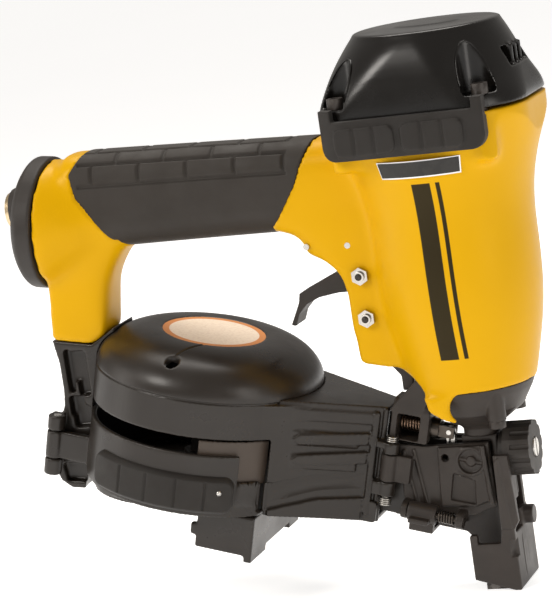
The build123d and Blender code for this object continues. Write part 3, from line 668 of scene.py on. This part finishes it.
def plain(node):
    """Keeps a CAD node, with its material and softened edges."""
    obj = NODES[node]
    obj.data.materials.clear()
    obj.data.materials.append(MATERIALS[NODE_SLOT[node]])
    weld = obj.modifiers.new("weld", "WELD")
    weld.merge_threshold = WELD_GAP
    soft = obj.modifiers.new("bevel", "BEVEL")
    soft.width = EDGE_BEVEL * MM
    soft.segments = 2
    soft.limit_method = "ANGLE"
    soft.angle_limit = math.radians(40)
    soft.harden_normals = False


# ---- pieces -------------------------------------------------------------------------------
SKIN_VOXEL = 1.15
HOUSING_CORNER = 4.0  # radius of the inside corners where the handle and the web meet the barrel
HANDLE_Z, GRIP_INSET = 206.0, 1.3  # the handle's middle, and how far the casting lies in under the rubber
# Side outlines of the rubber on the handle, and of the web between the trigger and the barrel.
GRIP_OUTLINE = [(-60, 229), (-67, 215), (-71, 206), (-86, 184), (-87, 178), (-160, 178), (-163, 183)]
GRIP_OUTLINE += [(-171, 189), (-178, 199.5), (-185, 210), (-187, 222), (-179, 234), (-60, 234)]
WEB_OUTLINE = [(-34, 190), (-80, 190), (-86, 184), (-78, 182), (-73, 180), (-71, 175), (-71.5, 171)]
WEB_OUTLINE += [(-66, 170), (-59, 166), (-54.5, 160), (-52.5, 151), (-52.5, 136), (-51.6, 129)]
WEB_OUTLINE += [(-50.7, 116.5), (-34, 113)]


def housing_bores(over):
    """The cylinder's bores and the air duct; over is how far they run past the open ends."""
    steps = [(35.5, 156.0, 235.4 + over), (33.0, 130.0, 157.0), (27.0, 112.0, 131.0)]
    steps.append((9.0, 101.0 - over, 113.0))
    bores = [rod((0, 0, low), (0, 0, high), radius, 96) for radius, low, high in steps]
    return bores + [rod((-204 - 4 * over, 0, 204.5), (-30, 0, 204.5), 12.0, 64)]


def housing_slots():
    """The valve's bores, the trigger's slot and the contact arm's slot below it."""
    hollows = [rod((-59, 0, 160), (-59, 0, 186.4), 9.2, 48), rod((-59, 0, 184), (-59, 0, 200), 4.0, 32)]
    hollows.append(box((-95, 96, -8.4), (-40.3, 164.4, 8.4)))
    riser = [(-53, 98), (-29.5, 98), (-29.5, 116), (-46, 136.4), (-53, 136.4)]
    hollows.append(prism(riser, (-3, 3)))
    return hollows


def build_housing():
    """The yellow casting: filled, its corners rounded, then bored again."""

    def weight(p):
        """Keeps the top face, the foot and the lugs under it from being smoothed away."""
        top = np.clip((234.0 - p[:, 2]) / 2.0, 0.0, 1.0)
        foot = np.clip((p[:, 2] - 102.0) / 2.0, 0.05, 1.0)
        lug = p[:, 2] < 99.0
        return top * np.where(lug, 0.3, foot)

    def blend_zones(p):
        """Where the handle runs into the barrel, the web and the rear end."""
        x, _, z = p.T
        front = np.clip(1.0 - np.hypot((x + 66) / 26, (z - 186) / 20), 0, 1)
        rear = np.clip(1.0 - np.hypot((x + 182) / 26, (z - 186) / 40), 0, 1)
        return np.clip(2.0 * np.maximum(front, rear), 0, 1)

    fillings = [welded_copy("handle_grip", "filling"), prism(WEB_OUTLINE, (-8.4, 8.4))]
    fillings.append(prism([(-36, 112.5), (-29.5, 110), (-29.5, 117), (-36, 124)], (-3, 3)))
    made = skin_of("main_housing", SKIN_VOXEL, fillings + housing_bores(0.0))
    close_corners(made, HOUSING_CORNER, SKIN_VOXEL)
    relax(made, 14, weight)
    relax(made, 90, blend_zones)
    points = coordinates(made)
    for _ in range(2):
        over = np.maximum(cap_distance(points[:, 0], points[:, 1], CAP_HEIGHTS[0]), 0.0)
        over *= np.clip(points[:, 0] / 10.0, 0, 1) * np.clip((points[:, 2] - 200.0) / 20.0, 0, 1)
        away = np.maximum(np.hypot(points[:, 0], points[:, 1]), 1.0)
        points[:, :2] *= (1.0 - over / away)[:, None]
    under = within(points[:, 0], points[:, 2], GRIP_OUTLINE)
    centre = np.stack((points[:, 0], np.zeros(len(points)), np.full(len(points), HANDLE_Z)), 1)
    inward = centre - points
    inward /= np.maximum(np.linalg.norm(inward, axis=1), 1.0)[:, None]
    points += GRIP_INSET * inward * under[:, None]
    set_coordinates(made, points)
    cut(made, housing_bores(3.0) + housing_slots(), "MANIFOLD")
    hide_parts("main_housing")
    finish_piece(made, "root", "yellow_paint")


def barrel_patch(name, lower, upper, reach, lift, thickness):
    """A thin plate on the barrel's near side between two (radius, z) rings, reach degrees each way."""
    bm = bmesh.new()
    steps = 40
    top = lift + thickness
    rows = []
    for (radius, z), out in ((lower, lift), (upper, lift), (upper, top), (lower, top)):
        row = []
        for i in range(steps + 1):
            angle = math.radians(-90.0 + reach * (2.0 * i / steps - 1.0))
            spot = Vector((math.cos(angle), math.sin(angle), 0)) * (radius + out) + Vector((0, 0, z))
            row.append(bm.verts.new(spot * MM))
        rows.append(row)
    for low, high in zip(rows, rows[1:] + rows[:1]):
        for i in range(steps):
            bm.faces.new((low[i], low[i + 1], high[i + 1], high[i]))
    bm.faces.new([row[0] for row in rows])
    bm.faces.new([row[-1] for row in rows])
    return from_bmesh(name, bm)


def build_badge():
    """The blank badge under the bumper, with a thin bright border."""
    plate = barrel_patch("badge_face", (44.3, 208.9), (46.6, 216.0), 24.5, 0.5, 0.5)
    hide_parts("badge_plate")
    finish_piece(plate, "root", "black_plate", smooth=False)
    border = barrel_patch("badge_border", (44.1, 208.2), (46.8, 216.6), 25.3, 0.1, 0.6)
    finish_piece(border, "root", "aluminium", smooth=False)


# Where the scoops over the cap's four screws stand, and their radius.
SCOOPS = [(x, side * 35.6) for x in (30.8, -36.8) for side in (-1, 1)]
SCOOP_R = 8.4
# Half sizes along X and Y and corner radius of the cap's section, against height. The front is
# slimmer by a share of its size and rounder by some millimetres.
CAP_HEIGHTS = (236.4, 241.0, 246.0, 252.0, 258.0, 264.0, 269.0, 273.0, 274.6)
CAP_HALF_X = (49.5, 49.3, 48.4, 46.8, 44.6, 41.6, 38.4, 35.6, 33.8)
CAP_HALF_Y = (44.0, 44.0, 43.6, 42.8, 41.6, 39.8, 37.6, 35.2, 33.6)
CAP_CORNER = (17.0, 18.0, 22.0, 27.0, 31.0, 34.0, 35.0, 34.6, 33.4)
CAP_FRONT_SLIM = (0.025, 0.03, 0.045, 0.06, 0.06, 0.05, 0.03, 0.01, 0.0)
CAP_FRONT_ROUND = (11.0, 11.5, 12.0, 12.0, 9.0, 6.0, 3.0, 0.5, 0.0)
CAP_TOP_ROUNDING = 1.2


def cap_distance(x, y, z):
    """How far a point lies outside the cap's section at its height; negative inside."""
    sizes = (CAP_HALF_X, CAP_HALF_Y, CAP_CORNER, CAP_FRONT_SLIM, CAP_FRONT_ROUND)
    near = (-3.0, -1.5, 0.0, 1.5, 3.0)
    half_x, half_y, corner, slim, extra = (
        sum(np.interp(z + step, CAP_HEIGHTS, size) for step in near) / len(near) for size in sizes
    )
    front = np.clip(np.asarray(x) / 20.0, 0.0, 1.0)
    corner = np.minimum(corner + extra * front, half_y)
    a, b = abs(x) * (1.0 + slim * front) - half_x + corner, abs(y) - half_y + corner
    return np.hypot(np.maximum(a, 0), np.maximum(b, 0)) + np.minimum(np.maximum(a, b), 0) - corner


def cap_form(sides=144):
    """The cap's solid form, lofted through its sections."""
    turns = 2 * math.pi * np.arange(sides) / sides
    heights = np.concatenate((CAP_HEIGHTS[:1], np.linspace(237.5, 273.8, 34), [274.3]))
    bm = bmesh.new()
    rows = []
    for z in heights:
        low, high = np.zeros(sides), np.full(sides, 80.0)
        for _ in range(26):
            reach = (low + high) / 2
            inside = cap_distance(reach * np.cos(turns), reach * np.sin(turns), z) < 0
            low, high = np.where(inside, reach, low), np.where(inside, high, reach)
        if z > 274.0:
            low = low - CAP_TOP_ROUNDING
        spots = [Vector((r * math.cos(t), r * math.sin(t), z)) for r, t in zip(low, turns)]
        rows.append([bm.verts.new(spot * MM) for spot in spots])
    for low, high in zip(rows, rows[1:]):
        for i in range(sides):
            j = (i + 1) % sides
            bm.faces.new((low[i], low[j], high[j], high[i]))
    bm.faces.new(rows[0])
    bm.faces.new(rows[-1])
    return from_bmesh("cap_form", bm)


def scoop_line(x, y):
    """Points along the edge that a screw's scoop leaves on the cap, for its raised line."""
    outward = math.atan2(y, x)
    points = []
    for step in range(-44, 45):
        turn = outward + math.pi + math.radians(2.0 * step)
        a, b = x + SCOOP_R * math.cos(turn), y + SCOOP_R * math.sin(turn)
        low, high = 240.0, 274.6
        if cap_distance(a, b, low) > 0:
            continue
        for _ in range(24):
            middle = (low + high) / 2
            low, high = (middle, high) if cap_distance(a, b, middle) < 0 else (low, middle)
        if low > 246.0:
            points.append((a, b, low))
    return points


def build_cap():
    """The cap, with an arched scoop over each screw, vanes in the exhaust and a plain raised oval."""
    made = cap_form()
    stem = rod((0, 0, 222), (0, 0, 240), 10.0, 64)
    oval = lathe([(0, 0), (9.5, 0), (9.0, 0.9), (0, 0.9)], (0, 0, 273.9), (0, 0, 1))
    oval.data.transform(Matrix.Scale(1.7, 4, (1, 0, 0)))
    join(made, [stem])
    scoops = [rod((x, y, 243), (x, y, 280), SCOOP_R, 64) for x, y in SCOOPS]
    exhaust = prism([(26, 253), (60, 250.5), (60, 261), (26, 261)], (-15, 15))
    hollows = [rod((0, 0, 235), (0, 0, 253), 33.1, 96), rod((0, 0, 252), (0, 0, 262), 30.0, 96)]
    for hollow in hollows:
        cut(hollow, [rod((0, 0, 230), (0, 0, 270), 11.5, 48)])
    cut(made, scoops + [exhaust] + hollows)
    vanes = [box((27, 252, y - 0.9), (42, 261.5, y + 0.9)) for y in (-7.5, 0, 7.5)]
    join(made, vanes + [oval])
    remesh(made, 0.75)
    relax(made, 3)
    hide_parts("cap", "cap_gasket")
    finish_piece(made, "root", "cap_plastic")
    for x, y in SCOOPS:
        detail(wire(scoop_line(x, y), 0.42, "cap_line"), "cap")


def pad_on_bumper(x0, x1, side):
    """One raised pad with two upright grooves."""
    inner, outer = side * 46.0, side * 50.6
    pad = round_box((x0, 221.8, inner), (x1, 234.6, outer), 3.4)
    remesh(pad, 0.4)
    third = (x1 - x0) / 3.0
    spots = [x0 + k * third for k in (1, 2)]
    cut(pad, [rod((x, outer, 219), (x, outer, 237), 1.0, 16) for x in spots])
    return pad


BUMPER_X, BUMPER_LOW = (-44.5, 35.0), 219.4


def build_bumpers():
    """The rubber bumpers, with round lower corners and two grooved pads each."""
    for node, side in (("bumper_right", -1), ("bumper_left", 1)):
        frame_box = box((-60, 210, 25), (60, 225.5, 65))
        low_part = round_box((BUMPER_X[0], BUMPER_LOW, 20), (BUMPER_X[1], 260, 70), 6.5)
        cut(frame_box, [low_part])
        ends = [box((-60, 225, 25), (BUMPER_X[0], 260, 65)), box((BUMPER_X[1], 225, 25), (60, 260, 65))]
        cutters = [frame_box] + ends
        if side < 0:
            for cutter in cutters:
                cutter.data.transform(Matrix.Scale(-1, 4, (0, 1, 0)))
                cutter.data.flip_normals()
        pads = [pad_on_bumper(-37.0, -8.0, side), pad_on_bumper(-4.6, 25.2, side)]
        cast(node, 0.5, 4, adds=pads, cuts=cutters)


GRIP_ROWS = (8.0, 17.0, 26.0)  # distances in mm around the handle from its top line
GRIP_PITCH = 25.0
GRIP_LIFT, GROOVE_DEPTH, GROOVE_HALF = 0.3, 1.2, 0.8


def emboss_grip(grip):
    """Presses brick-shaped grooves into the upper part of the rubber's outside."""
    points = coordinates(grip)
    x, y, z = points.T
    middle = np.interp(x, (-192, -105, -28), (207.0, 205.5, 203.5))
    half = np.interp(x, (-192, -105, -28), (24.0, 22.5, 21.5))
    around = np.arctan2(np.abs(y) / 18.0, (z - middle) / half)
    reach = around * 21.5
    outward = (np.abs(y) > 15.9) | (z > middle + half - 2.2) | (
        (np.abs(y) - 4.0) ** 2 + (z - middle - half + 14.0) ** 2 > 12.6 ** 2
    )
    depth = np.zeros(len(points))
    for row in GRIP_ROWS:
        depth = np.maximum(depth, np.clip(1.4 - np.abs(reach - row) / GROOVE_HALF, 0, 1))
    for k, (low, high) in enumerate(zip((-1.0,) + GRIP_ROWS, GRIP_ROWS)):
        along = (x + GRIP_PITCH * (k % 2) / 2.0) / GRIP_PITCH
        gap = np.abs(along - np.round(along)) * GRIP_PITCH
        joint = np.clip(1.4 - gap / GROOVE_HALF, 0, 1)
        depth = np.maximum(depth, np.where((reach > low) & (reach < high), joint, 0))
    away = np.stack((np.zeros(len(x)), np.sin(around) * np.sign(y), np.cos(around)), 1)
    inside = (x < -74) & (x > -183) & outward
    points += away * (GRIP_LIFT - GROOVE_DEPTH * depth * inside)[:, None]
    set_coordinates(grip, points)


END_TILT = math.radians(7.0)
END_CENTRE = Vector((-206.0, 0.0, 197.0))


def build_end_cap():
    """A thin domed cover with a boss around the air inlet."""
    back = Vector((-math.cos(END_TILT), 0.0, math.sin(END_TILT)))
    profile = [(0, 0), (32.6, 0), (33.0, 0.6), (33.0, 7.6), (32.0, 9.0), (29, 11.2), (24, 13.4)]
    profile += [(18, 14.8), (0, 15.4)]
    cover = lathe(profile, END_CENTRE, back, "end_cap_skin")
    boss = rod((-212, 0, 205), (-225.5, 0, 205), 14.0, 64, end_radius=11.0)
    bore = rod((-200, 0, 205), (-230, 0, 205), 9.0, 64)
    join(cover, [boss])
    remesh(cover, 0.7)
    cut(cover, [bore])
    relax(cover, 3)
    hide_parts("end_cap")
    finish_piece(cover, "root", "matte_black")


def build_motor_top():
    """The cap and its bumpers, and both ends of the handle's cover."""
    build_cap()
    build_bumpers()
    cast("handle_grip", 0.62, 2, shape=emboss_grip)
    build_end_cap()


def can_ring(inner, outer, low, high):
    """A ring about the canister's axis, between two radii and two heights."""
    start = in_mag(0, 0, low)
    return lathe([(inner, 0), (outer, 0), (outer, high - low), (inner, high - low)], start, MAG_H, "ring")


def can_sector(inner, outer, low, high, start, stop):
    """A part of such a ring between two angles in degrees."""
    steps = max(2, int(abs(stop - start) / 3))
    turns = [math.radians(start + (stop - start) * i / steps) for i in range(steps + 1)]
    outline = [(outer * math.cos(t), outer * math.sin(t)) for t in turns]
    outline += [(inner * math.cos(t), inner * math.sin(t)) for t in reversed(turns)]
    return prism(outline, (low, high), mag_plan)


DOME_FLAT, DOME_R, DOME_DROP = 28.0, 56.9, 20.0
CAN_SKIRT_H = -38.3  # lower edge of the canister's wall, in the magazine's frame


def on_dome(radius, angle, lift):
    """A point of the canister's dome at a radius and an angle in degrees."""
    over = max(0.0, (radius - DOME_FLAT) / (DOME_R - DOME_FLAT))
    h = -DOME_DROP * (1.0 - math.sqrt(1.0 - over * over))
    turn = math.radians(angle)
    return in_mag(radius * math.cos(turn), radius * math.sin(turn), h + lift)


def build_canister():
    """The upper half: a crease under the dome, a curved groove from the keyhole, an even lower edge."""
    steps = [on_dome(46.0 - 20.5 * k / 10, -95.0 + 15.0 * (k / 10) ** 2, 0.2) for k in range(11)]
    keyway = wire(steps, 0.9, "keyway")
    crease = can_ring(56.2, 58.0, -20.8, -19.6)
    deep_skirt = can_sector(50, 62, -60.5, CAN_SKIRT_H, -45, -34)
    made = skin_of("canister", 0.6)
    cut(made, [keyway])
    carve(made, (crease, deep_skirt))
    relax(made, 2)
    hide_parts("canister")
    finish_piece(made, NODE_BODY["canister"], NODE_SLOT["canister"])


def build_cover():
    """The swinging half, recessed and stepped down past the pad's end, and its liner, pad and screw."""
    recess = can_sector(55.4, 60, -72, -58, -53.6, -38)
    step_down = can_sector(50, 60, -60, -45, -52.8, -38)
    made = skin_of("magazine_cover", 0.6, [can_sector(53.9, 55.3, -75.4, -60.4, -42, -38.6)])
    carve(made, (recess, step_down))
    relax(made, 3)
    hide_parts("magazine_cover")
    finish_piece(made, "cover", "magazine_plastic")
    liner = can_sector(52.2, 53.4, -62, -40, -74, -35)
    remesh(liner, 0.6)
    detail(liner, "magazine_cover")
    liner.name = "coil_liner"
    liner.data.materials[0] = moulded("liner_plastic", (0.060, 0.044, 0.033), 0.4, 0.55)
    build_cover_pad()
    turn = math.radians(-62.0)
    near, far = (in_mag(r * math.cos(turn), r * math.sin(turn), -64.0) for r in (58.0, 60.35))
    detail(rod(near, far, 1.2, 24, "pad_screw"), "magazine_cover", "steel")


PAD_ANGLES, PAD_HEIGHTS = (-133.0, -54.0), (-75.6, -56.6)
PAD_CORNER, PAD_RADIUS = 6.0, 58.0
PAD_BACK, PAD_EDGE, PAD_RISE = 56.1, 56.6, 3.6  # radii of its back and its edge, and its swell past that
PAD_GROOVES, PAD_GROOVE_DEPTH = (-19.0, -4.0, 11.0, 25.0), 0.9  # places along the arc from its middle


def pad_radius(arc, h, half_arc, half_h):
    """The pillow's outside radius, at a distance along its arc and a height from its middle."""
    a, b = abs(arc) - half_arc + PAD_CORNER, abs(h) - half_h + PAD_CORNER
    depth = PAD_CORNER - math.hypot(max(a, 0), max(b, 0)) - min(max(a, b), 0)
    raised = math.sqrt(min(max(depth / 2.2, 0.0), 1.0))
    groove = min(abs(arc - place) for place in PAD_GROOVES)
    sunk = PAD_GROOVE_DEPTH * max(0.0, 1.0 - groove / 0.9) * (depth > 2.5)
    return PAD_EDGE + PAD_RISE * raised - sunk


def build_cover_pad():
    """The pillow-shaped rubber pad on the cover's wall, with upright grooves."""
    wide, tall = 176, 44
    middle_h, half_h = sum(PAD_HEIGHTS) / 2, (PAD_HEIGHTS[1] - PAD_HEIGHTS[0]) / 2
    middle_turn = math.radians(sum(PAD_ANGLES) / 2)
    half_arc = math.radians(PAD_ANGLES[1] - PAD_ANGLES[0]) * PAD_RADIUS / 2
    bm = bmesh.new()
    outer, inner = [], []
    for i in range(wide + 1):
        arc = half_arc * (2.0 * i / wide - 1.0)
        turn = middle_turn + arc / PAD_RADIUS
        outer.append([])
        inner.append([])
        for j in range(tall + 1):
            h = half_h * (2.0 * j / tall - 1.0)
            for row, r in ((outer, pad_radius(arc, h, half_arc, half_h)), (inner, PAD_BACK)):
                spot = in_mag(r * math.cos(turn), r * math.sin(turn), middle_h + h)
                row[i].append(bm.verts.new(spot * MM))
    for i in range(wide):
        for j in range(tall):
            bm.faces.new((outer[i][j], outer[i + 1][j], outer[i + 1][j + 1], outer[i][j + 1]))
            bm.faces.new((inner[i][j], inner[i][j + 1], inner[i + 1][j + 1], inner[i + 1][j]))
    for i in range(wide):
        for j in (0, tall):
            bm.faces.new((outer[i][j], outer[i + 1][j], inner[i + 1][j], inner[i][j]))
    for j in range(tall):
        for i in (0, wide):
            bm.faces.new((outer[i][j], outer[i][j + 1], inner[i][j + 1], inner[i][j]))
    pad = from_bmesh("cover_pad_skin", bm)
    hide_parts("cover_pad")
    finish_piece(pad, "cover", "bumper_rubber")


# The feed channel's near wall in the magazine's plan: where it starts, its direction, its outward one.
WALL_START, WALL_ALONG, WALL_OUT = (46.6, -32.6), (0.9023, 0.4311), (0.4311, -0.9023)


def on_wall(a, b, c):
    """A point of the feed channel's near wall: a along it, b its height, c outwards."""
    s = WALL_START[0] + WALL_ALONG[0] * a + WALL_OUT[0] * c
    return in_mag(s, WALL_START[1] + WALL_ALONG[1] * a + WALL_OUT[1] * c, b)


def build_channel():
    """The feed channel's wall with bars, a pillar, an edge, a rail, a neck and a skirt, and a recess."""
    fill = box((2, -67, -2.4), (49, -55, 0.0), on_wall)
    bar = round_box((6, -27.5, -0.5), (50, -22.0, 0.9), 1.2, on_wall)
    upper = prism([(9, -37.0), (12, -34.6), (46, -32.0), (46, -38.0), (12, -39.6)], (-0.5, 2.0), on_wall)
    lower = prism([(9, -47.5), (12, -45.0), (46, -41.5), (46, -47.5), (12, -50.0)], (-0.5, 2.0), on_wall)
    pillar = round_box((47.2, -74.5, -0.5), (50.4, -21.0, 1.8), 1.4, on_wall)
    edge = round_box((52.2, -77.0, -0.5), (54.6, -19.0, 1.2), 1.0, on_wall)
    rail = [(0, -74.0), (10, -71.0), (24, -67.0), (46, -65.0), (46, -76.5), (0, -77.4)]
    start, bend, stop = Vector((37.6, -42.6)), Vector((46.9, -33.4)), Vector((61.5, -25.6))
    steps = [k / 10 for k in range(11)]
    curve = [tuple((1 - t) ** 2 * start + 2 * t * (1 - t) * bend + t * t * stop) for t in steps]
    neck = prism(curve + [(52, -27), (40, -37)], (-38.2, -20.8), mag_plan)
    skirt = prism(curve[4:] + [(54, -26), (45.2, -32.0)], (-60, -37), mag_plan)
    adds = [fill, bar, upper, lower, pillar, edge, prism(rail, (-0.5, 1.9), on_wall), neck, skirt]
    adds.append(can_sector(55.2, 56.8, -74.5, -60.4, -37.4, -31))
    low_edge = [(1, -70.0), (10, -67.5), (24, -63.0), (46, -60.5)]
    top_edge = [(46, -53.0), (24, -54.5), (8, -58), (1, -60)]
    made = skin_of("feed_channel", 0.55, adds)
    carve(made, [prism(low_edge + top_edge, (-1.4, 3.0), on_wall)])
    relax(made, 3)
    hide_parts("feed_channel")
    finish_piece(made, "root", "magazine_plastic")


def build_bracket():
    """The rear bracket, without its flap over the dome, with slots and box recesses in its sides."""
    flap = box((-177.5, 128, -20), (-150, 150, 20))
    recesses = [(-207, -203.2, 112, 134), (-201.4, -195.5, 110, 133)]
    recesses += [(-206.5, -197, 94, 105), (-212, -200, 78, 89)]
    cuts = [flap]
    for side in (-1, 1):
        for x0, x1, z0, z1 in recesses:
            cuts.append(round_box((x0, z0, side * 8.0), (x1, z1, side * 14.0), 1.4))
    hook = [(-216, 67), (-200, 65), (-201, 73), (-206, 76), (-217, 76)]
    cuts += [prism(hook, (side * 9.0, side * 14.0)) for side in (-1, 1)]
    cast("magazine_bracket", 0.6, 4, cuts=cuts)


def build_guide():
    """The shingle guide, its front plate running the whole way across, and room for its screws."""
    made = skin_of("shingle_guide", 0.6, [box((39.5, -98, -20), (43.3, -80, 24), mag_side)])
    relax(made, 3)
    slots = []
    for y in (-20, 20):
        slots.append(box((18.6, y - 3.0, -90), (35.4, y + 3.0, -70), mag_plan))
        slots += [rod(in_mag(s, y, -90), in_mag(s, y, -70), 3.1, 32) for s in (18.7, 35.3)]
        slots.append(rod(in_mag(35.0, y, -84.4), in_mag(35.0, y, -80.3), 5.0, 32))
    carve(made, slots)
    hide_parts("shingle_guide")
    finish_piece(made, "shingle_guide", "magazine_plastic")


def build_magazine():
    """Canister, cover, feed channel, bracket and shingle guide."""
    build_canister()
    build_cover()
    build_channel()
    build_bracket()
    build_guide()


def build_door():
    """The nose door: a raised panel with a tapered recess, a round one, ribs and the sight hole."""
    panel = prism([(-20, 71), (3.5, 71), (4.4, 44), (-5, 41), (-22, 42)], (-11.3, -8.5))
    collar = rod((-4.5, -12.0, 63.5), (-4.5, -9, 63.5), 7.2, 48)
    ribs = [prism([(x, 71), (x + 1.4, 71), (x + 4.6, 43), (x + 3.2, 43)], (-10.9, -9)) for x in (-38, -33)]
    ribs.append(prism([(1.5, 71), (3.6, 71), (4.8, 42), (2.7, 42)], (-12.6, -9)))
    recess = prism([(-14, 58.2), (-3.5, 53.8), (-4.7, 41.8), (-17, 45)], (-13, -9.5))
    pocket = rod((-4.5, -13, 63.5), (-4.5, -9.8, 63.5), 6.0, 48)
    hole = rod((-17, -20, 66), (-17, 0, 66), 1.9, 32)
    bar = rod((-10, -9.9, 65), (1, -9.9, 62), 0.9, 16)
    boss = rod((-4.5, -11.2, 63.5), (-4.5, -9, 63.5), 2.4, 32)
    made = skin_of("nose_door", 0.42, [panel, collar] + ribs)
    cut(made, [recess, pocket, hole], "MANIFOLD")
    join(made, [bar, boss])
    remesh(made, 0.42)
    relax(made, 2)
    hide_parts("nose_door")
    finish_piece(made, "nose_door", "nose_metal")


def build_foot():
    """The contact foot, with a notch in its front corner and a flat front."""
    front = box((9.5, 7, -4.2), (14.3, 21, 4.2))
    step = prism([(8.6, 64), (10.6, 66), (13.6, 31), (8.4, 31)], (-18.6, -16))
    notch = box((11.4, 16.5, -19), (16, 25, -13.2))
    groove = box((13.6, 4, -6), (16, 25, -4.6))
    made = skin_of("contact_foot", 0.5, [front, step])
    cut(made, [notch, groove], "MANIFOLD")
    relax(made, 3)
    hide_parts("contact_foot")
    finish_piece(made, "contact_foot", "coated_steel")


def build_strip_lips():
    """The channel's end column, which closes the strip's way behind the door hinge, and its springs."""
    made = box((94.5, -72, -6.1), (113, -35, -5.6), mag_side)
    column = [rod(in_mag(s, -9.2, -77), in_mag(s, -9.2, -63.5), 1.3, 24) for s in (92, 95.5)]
    heel = round_box((86.5, -77.2, -12.6), (96, -66.5, -8.2), 1.6, mag_side)
    join(made, column + [heel])
    remesh(made, 0.4)
    relax(made, 2)
    made.name = "channel_end"
    detail(made, "feed_channel")
    for name, low, turns in (("hinge_spring_low", -66.5, 4), ("hinge_spring_high", -34.2, 3)):
        spring = helix(in_mag(100, -12.5, low), MAG_H, 2.7, turns, 0.95 * turns, 0.42, name)
        detail(spring, "feed_channel", "spring_steel")


def build_nose():
    """The castings round the nose, a slimmer trigger, the door, the foot and dark bolt ends."""
    for node in ("nose_flange", "nose_body", "feed_cylinder", "trip_arm"):
        cast(node, 0.5, 4)
    cast("door_latch", 0.4, 3)
    slim = [(-84.5, 134), (-81.5, 141.5), (-77, 146), (-70, 149), (-60, 150.5), (-53, 150.5), (-53, 134)]
    cast("trigger", 0.4, 4, cuts=[prism(slim, (-10, 10))])
    build_door()
    build_foot()
    build_strip_lips()
    for x, z in ((-43.9, 159.9), (-43.5, 139.1)):
        for side in (-1, 1):
            dot = rod((x, side * 21.9, z), (x, side * 22.15, z), 1.7, 24, "bolt_end")
            detail(dot, "cheek_bolts", "matte_black")


def build_springs():
    """Compression springs as plain coils in place of the CAD ones, each wound up from its lower end."""
    # Each one's node, lower end, radius, turns, length, wire, joint and the share of its length kept.
    springs = (
        ("head_valve_spring", (0, 0, 230.5), 21.8, 5, 30.0, 1.2, "head_valve_lift", 0.84),
        ("contact_spring", (-2, 16, 70.5), 2.4, 5, 13.0, 0.4, "contact_slide", 0.48),
        ("valve_spring", (-59, 0, 175.5), 3.4, 4, 7.5, 0.4, "valve_stem_slide", 0.56),
    )
    for node, start, radius, turns, length, thick, joint, keep in springs:
        spring = helix(start, (0, 0, 1), radius, turns, length, thick, node + "_coil")
        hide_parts(node)
        finish_piece(spring, "root", "spring_steel")
        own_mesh(spring)


def build_rest():
    """Everything that isn't replaced keeps its CAD shape; a few small parts get darker copies of their metal
    as painted shade.
    """
    for node, obj in NODES.items():
        if not obj.hide_render:
            plain(node)
    # Painted shade: a darker copy of steel stands in for the shade on these small set-back parts.
    shade_dark_steel = bare_metal("painted_shade_steel", (0.085, 0.072, 0.062), 0.30, 0.45)
    for node in ("feed_piston", "latch_spring", "door_hinge_pin", "latch_pin"):
        NODES[node].data.materials[0] = shade_dark_steel
    # Painted shade: a darker copy of copper stands in for the shade on the feed spring inside its window.
    shade_dark_copper = bare_metal("painted_shade_copper", (0.30, 0.20, 0.14), 0.30, 0.42)
    NODES["feed_spring"].data.materials[0] = shade_dark_copper


add_camera()
add_studio()
build_housing()
build_badge()
build_motor_top()
build_magazine()
build_nose()
build_springs()
build_rest()
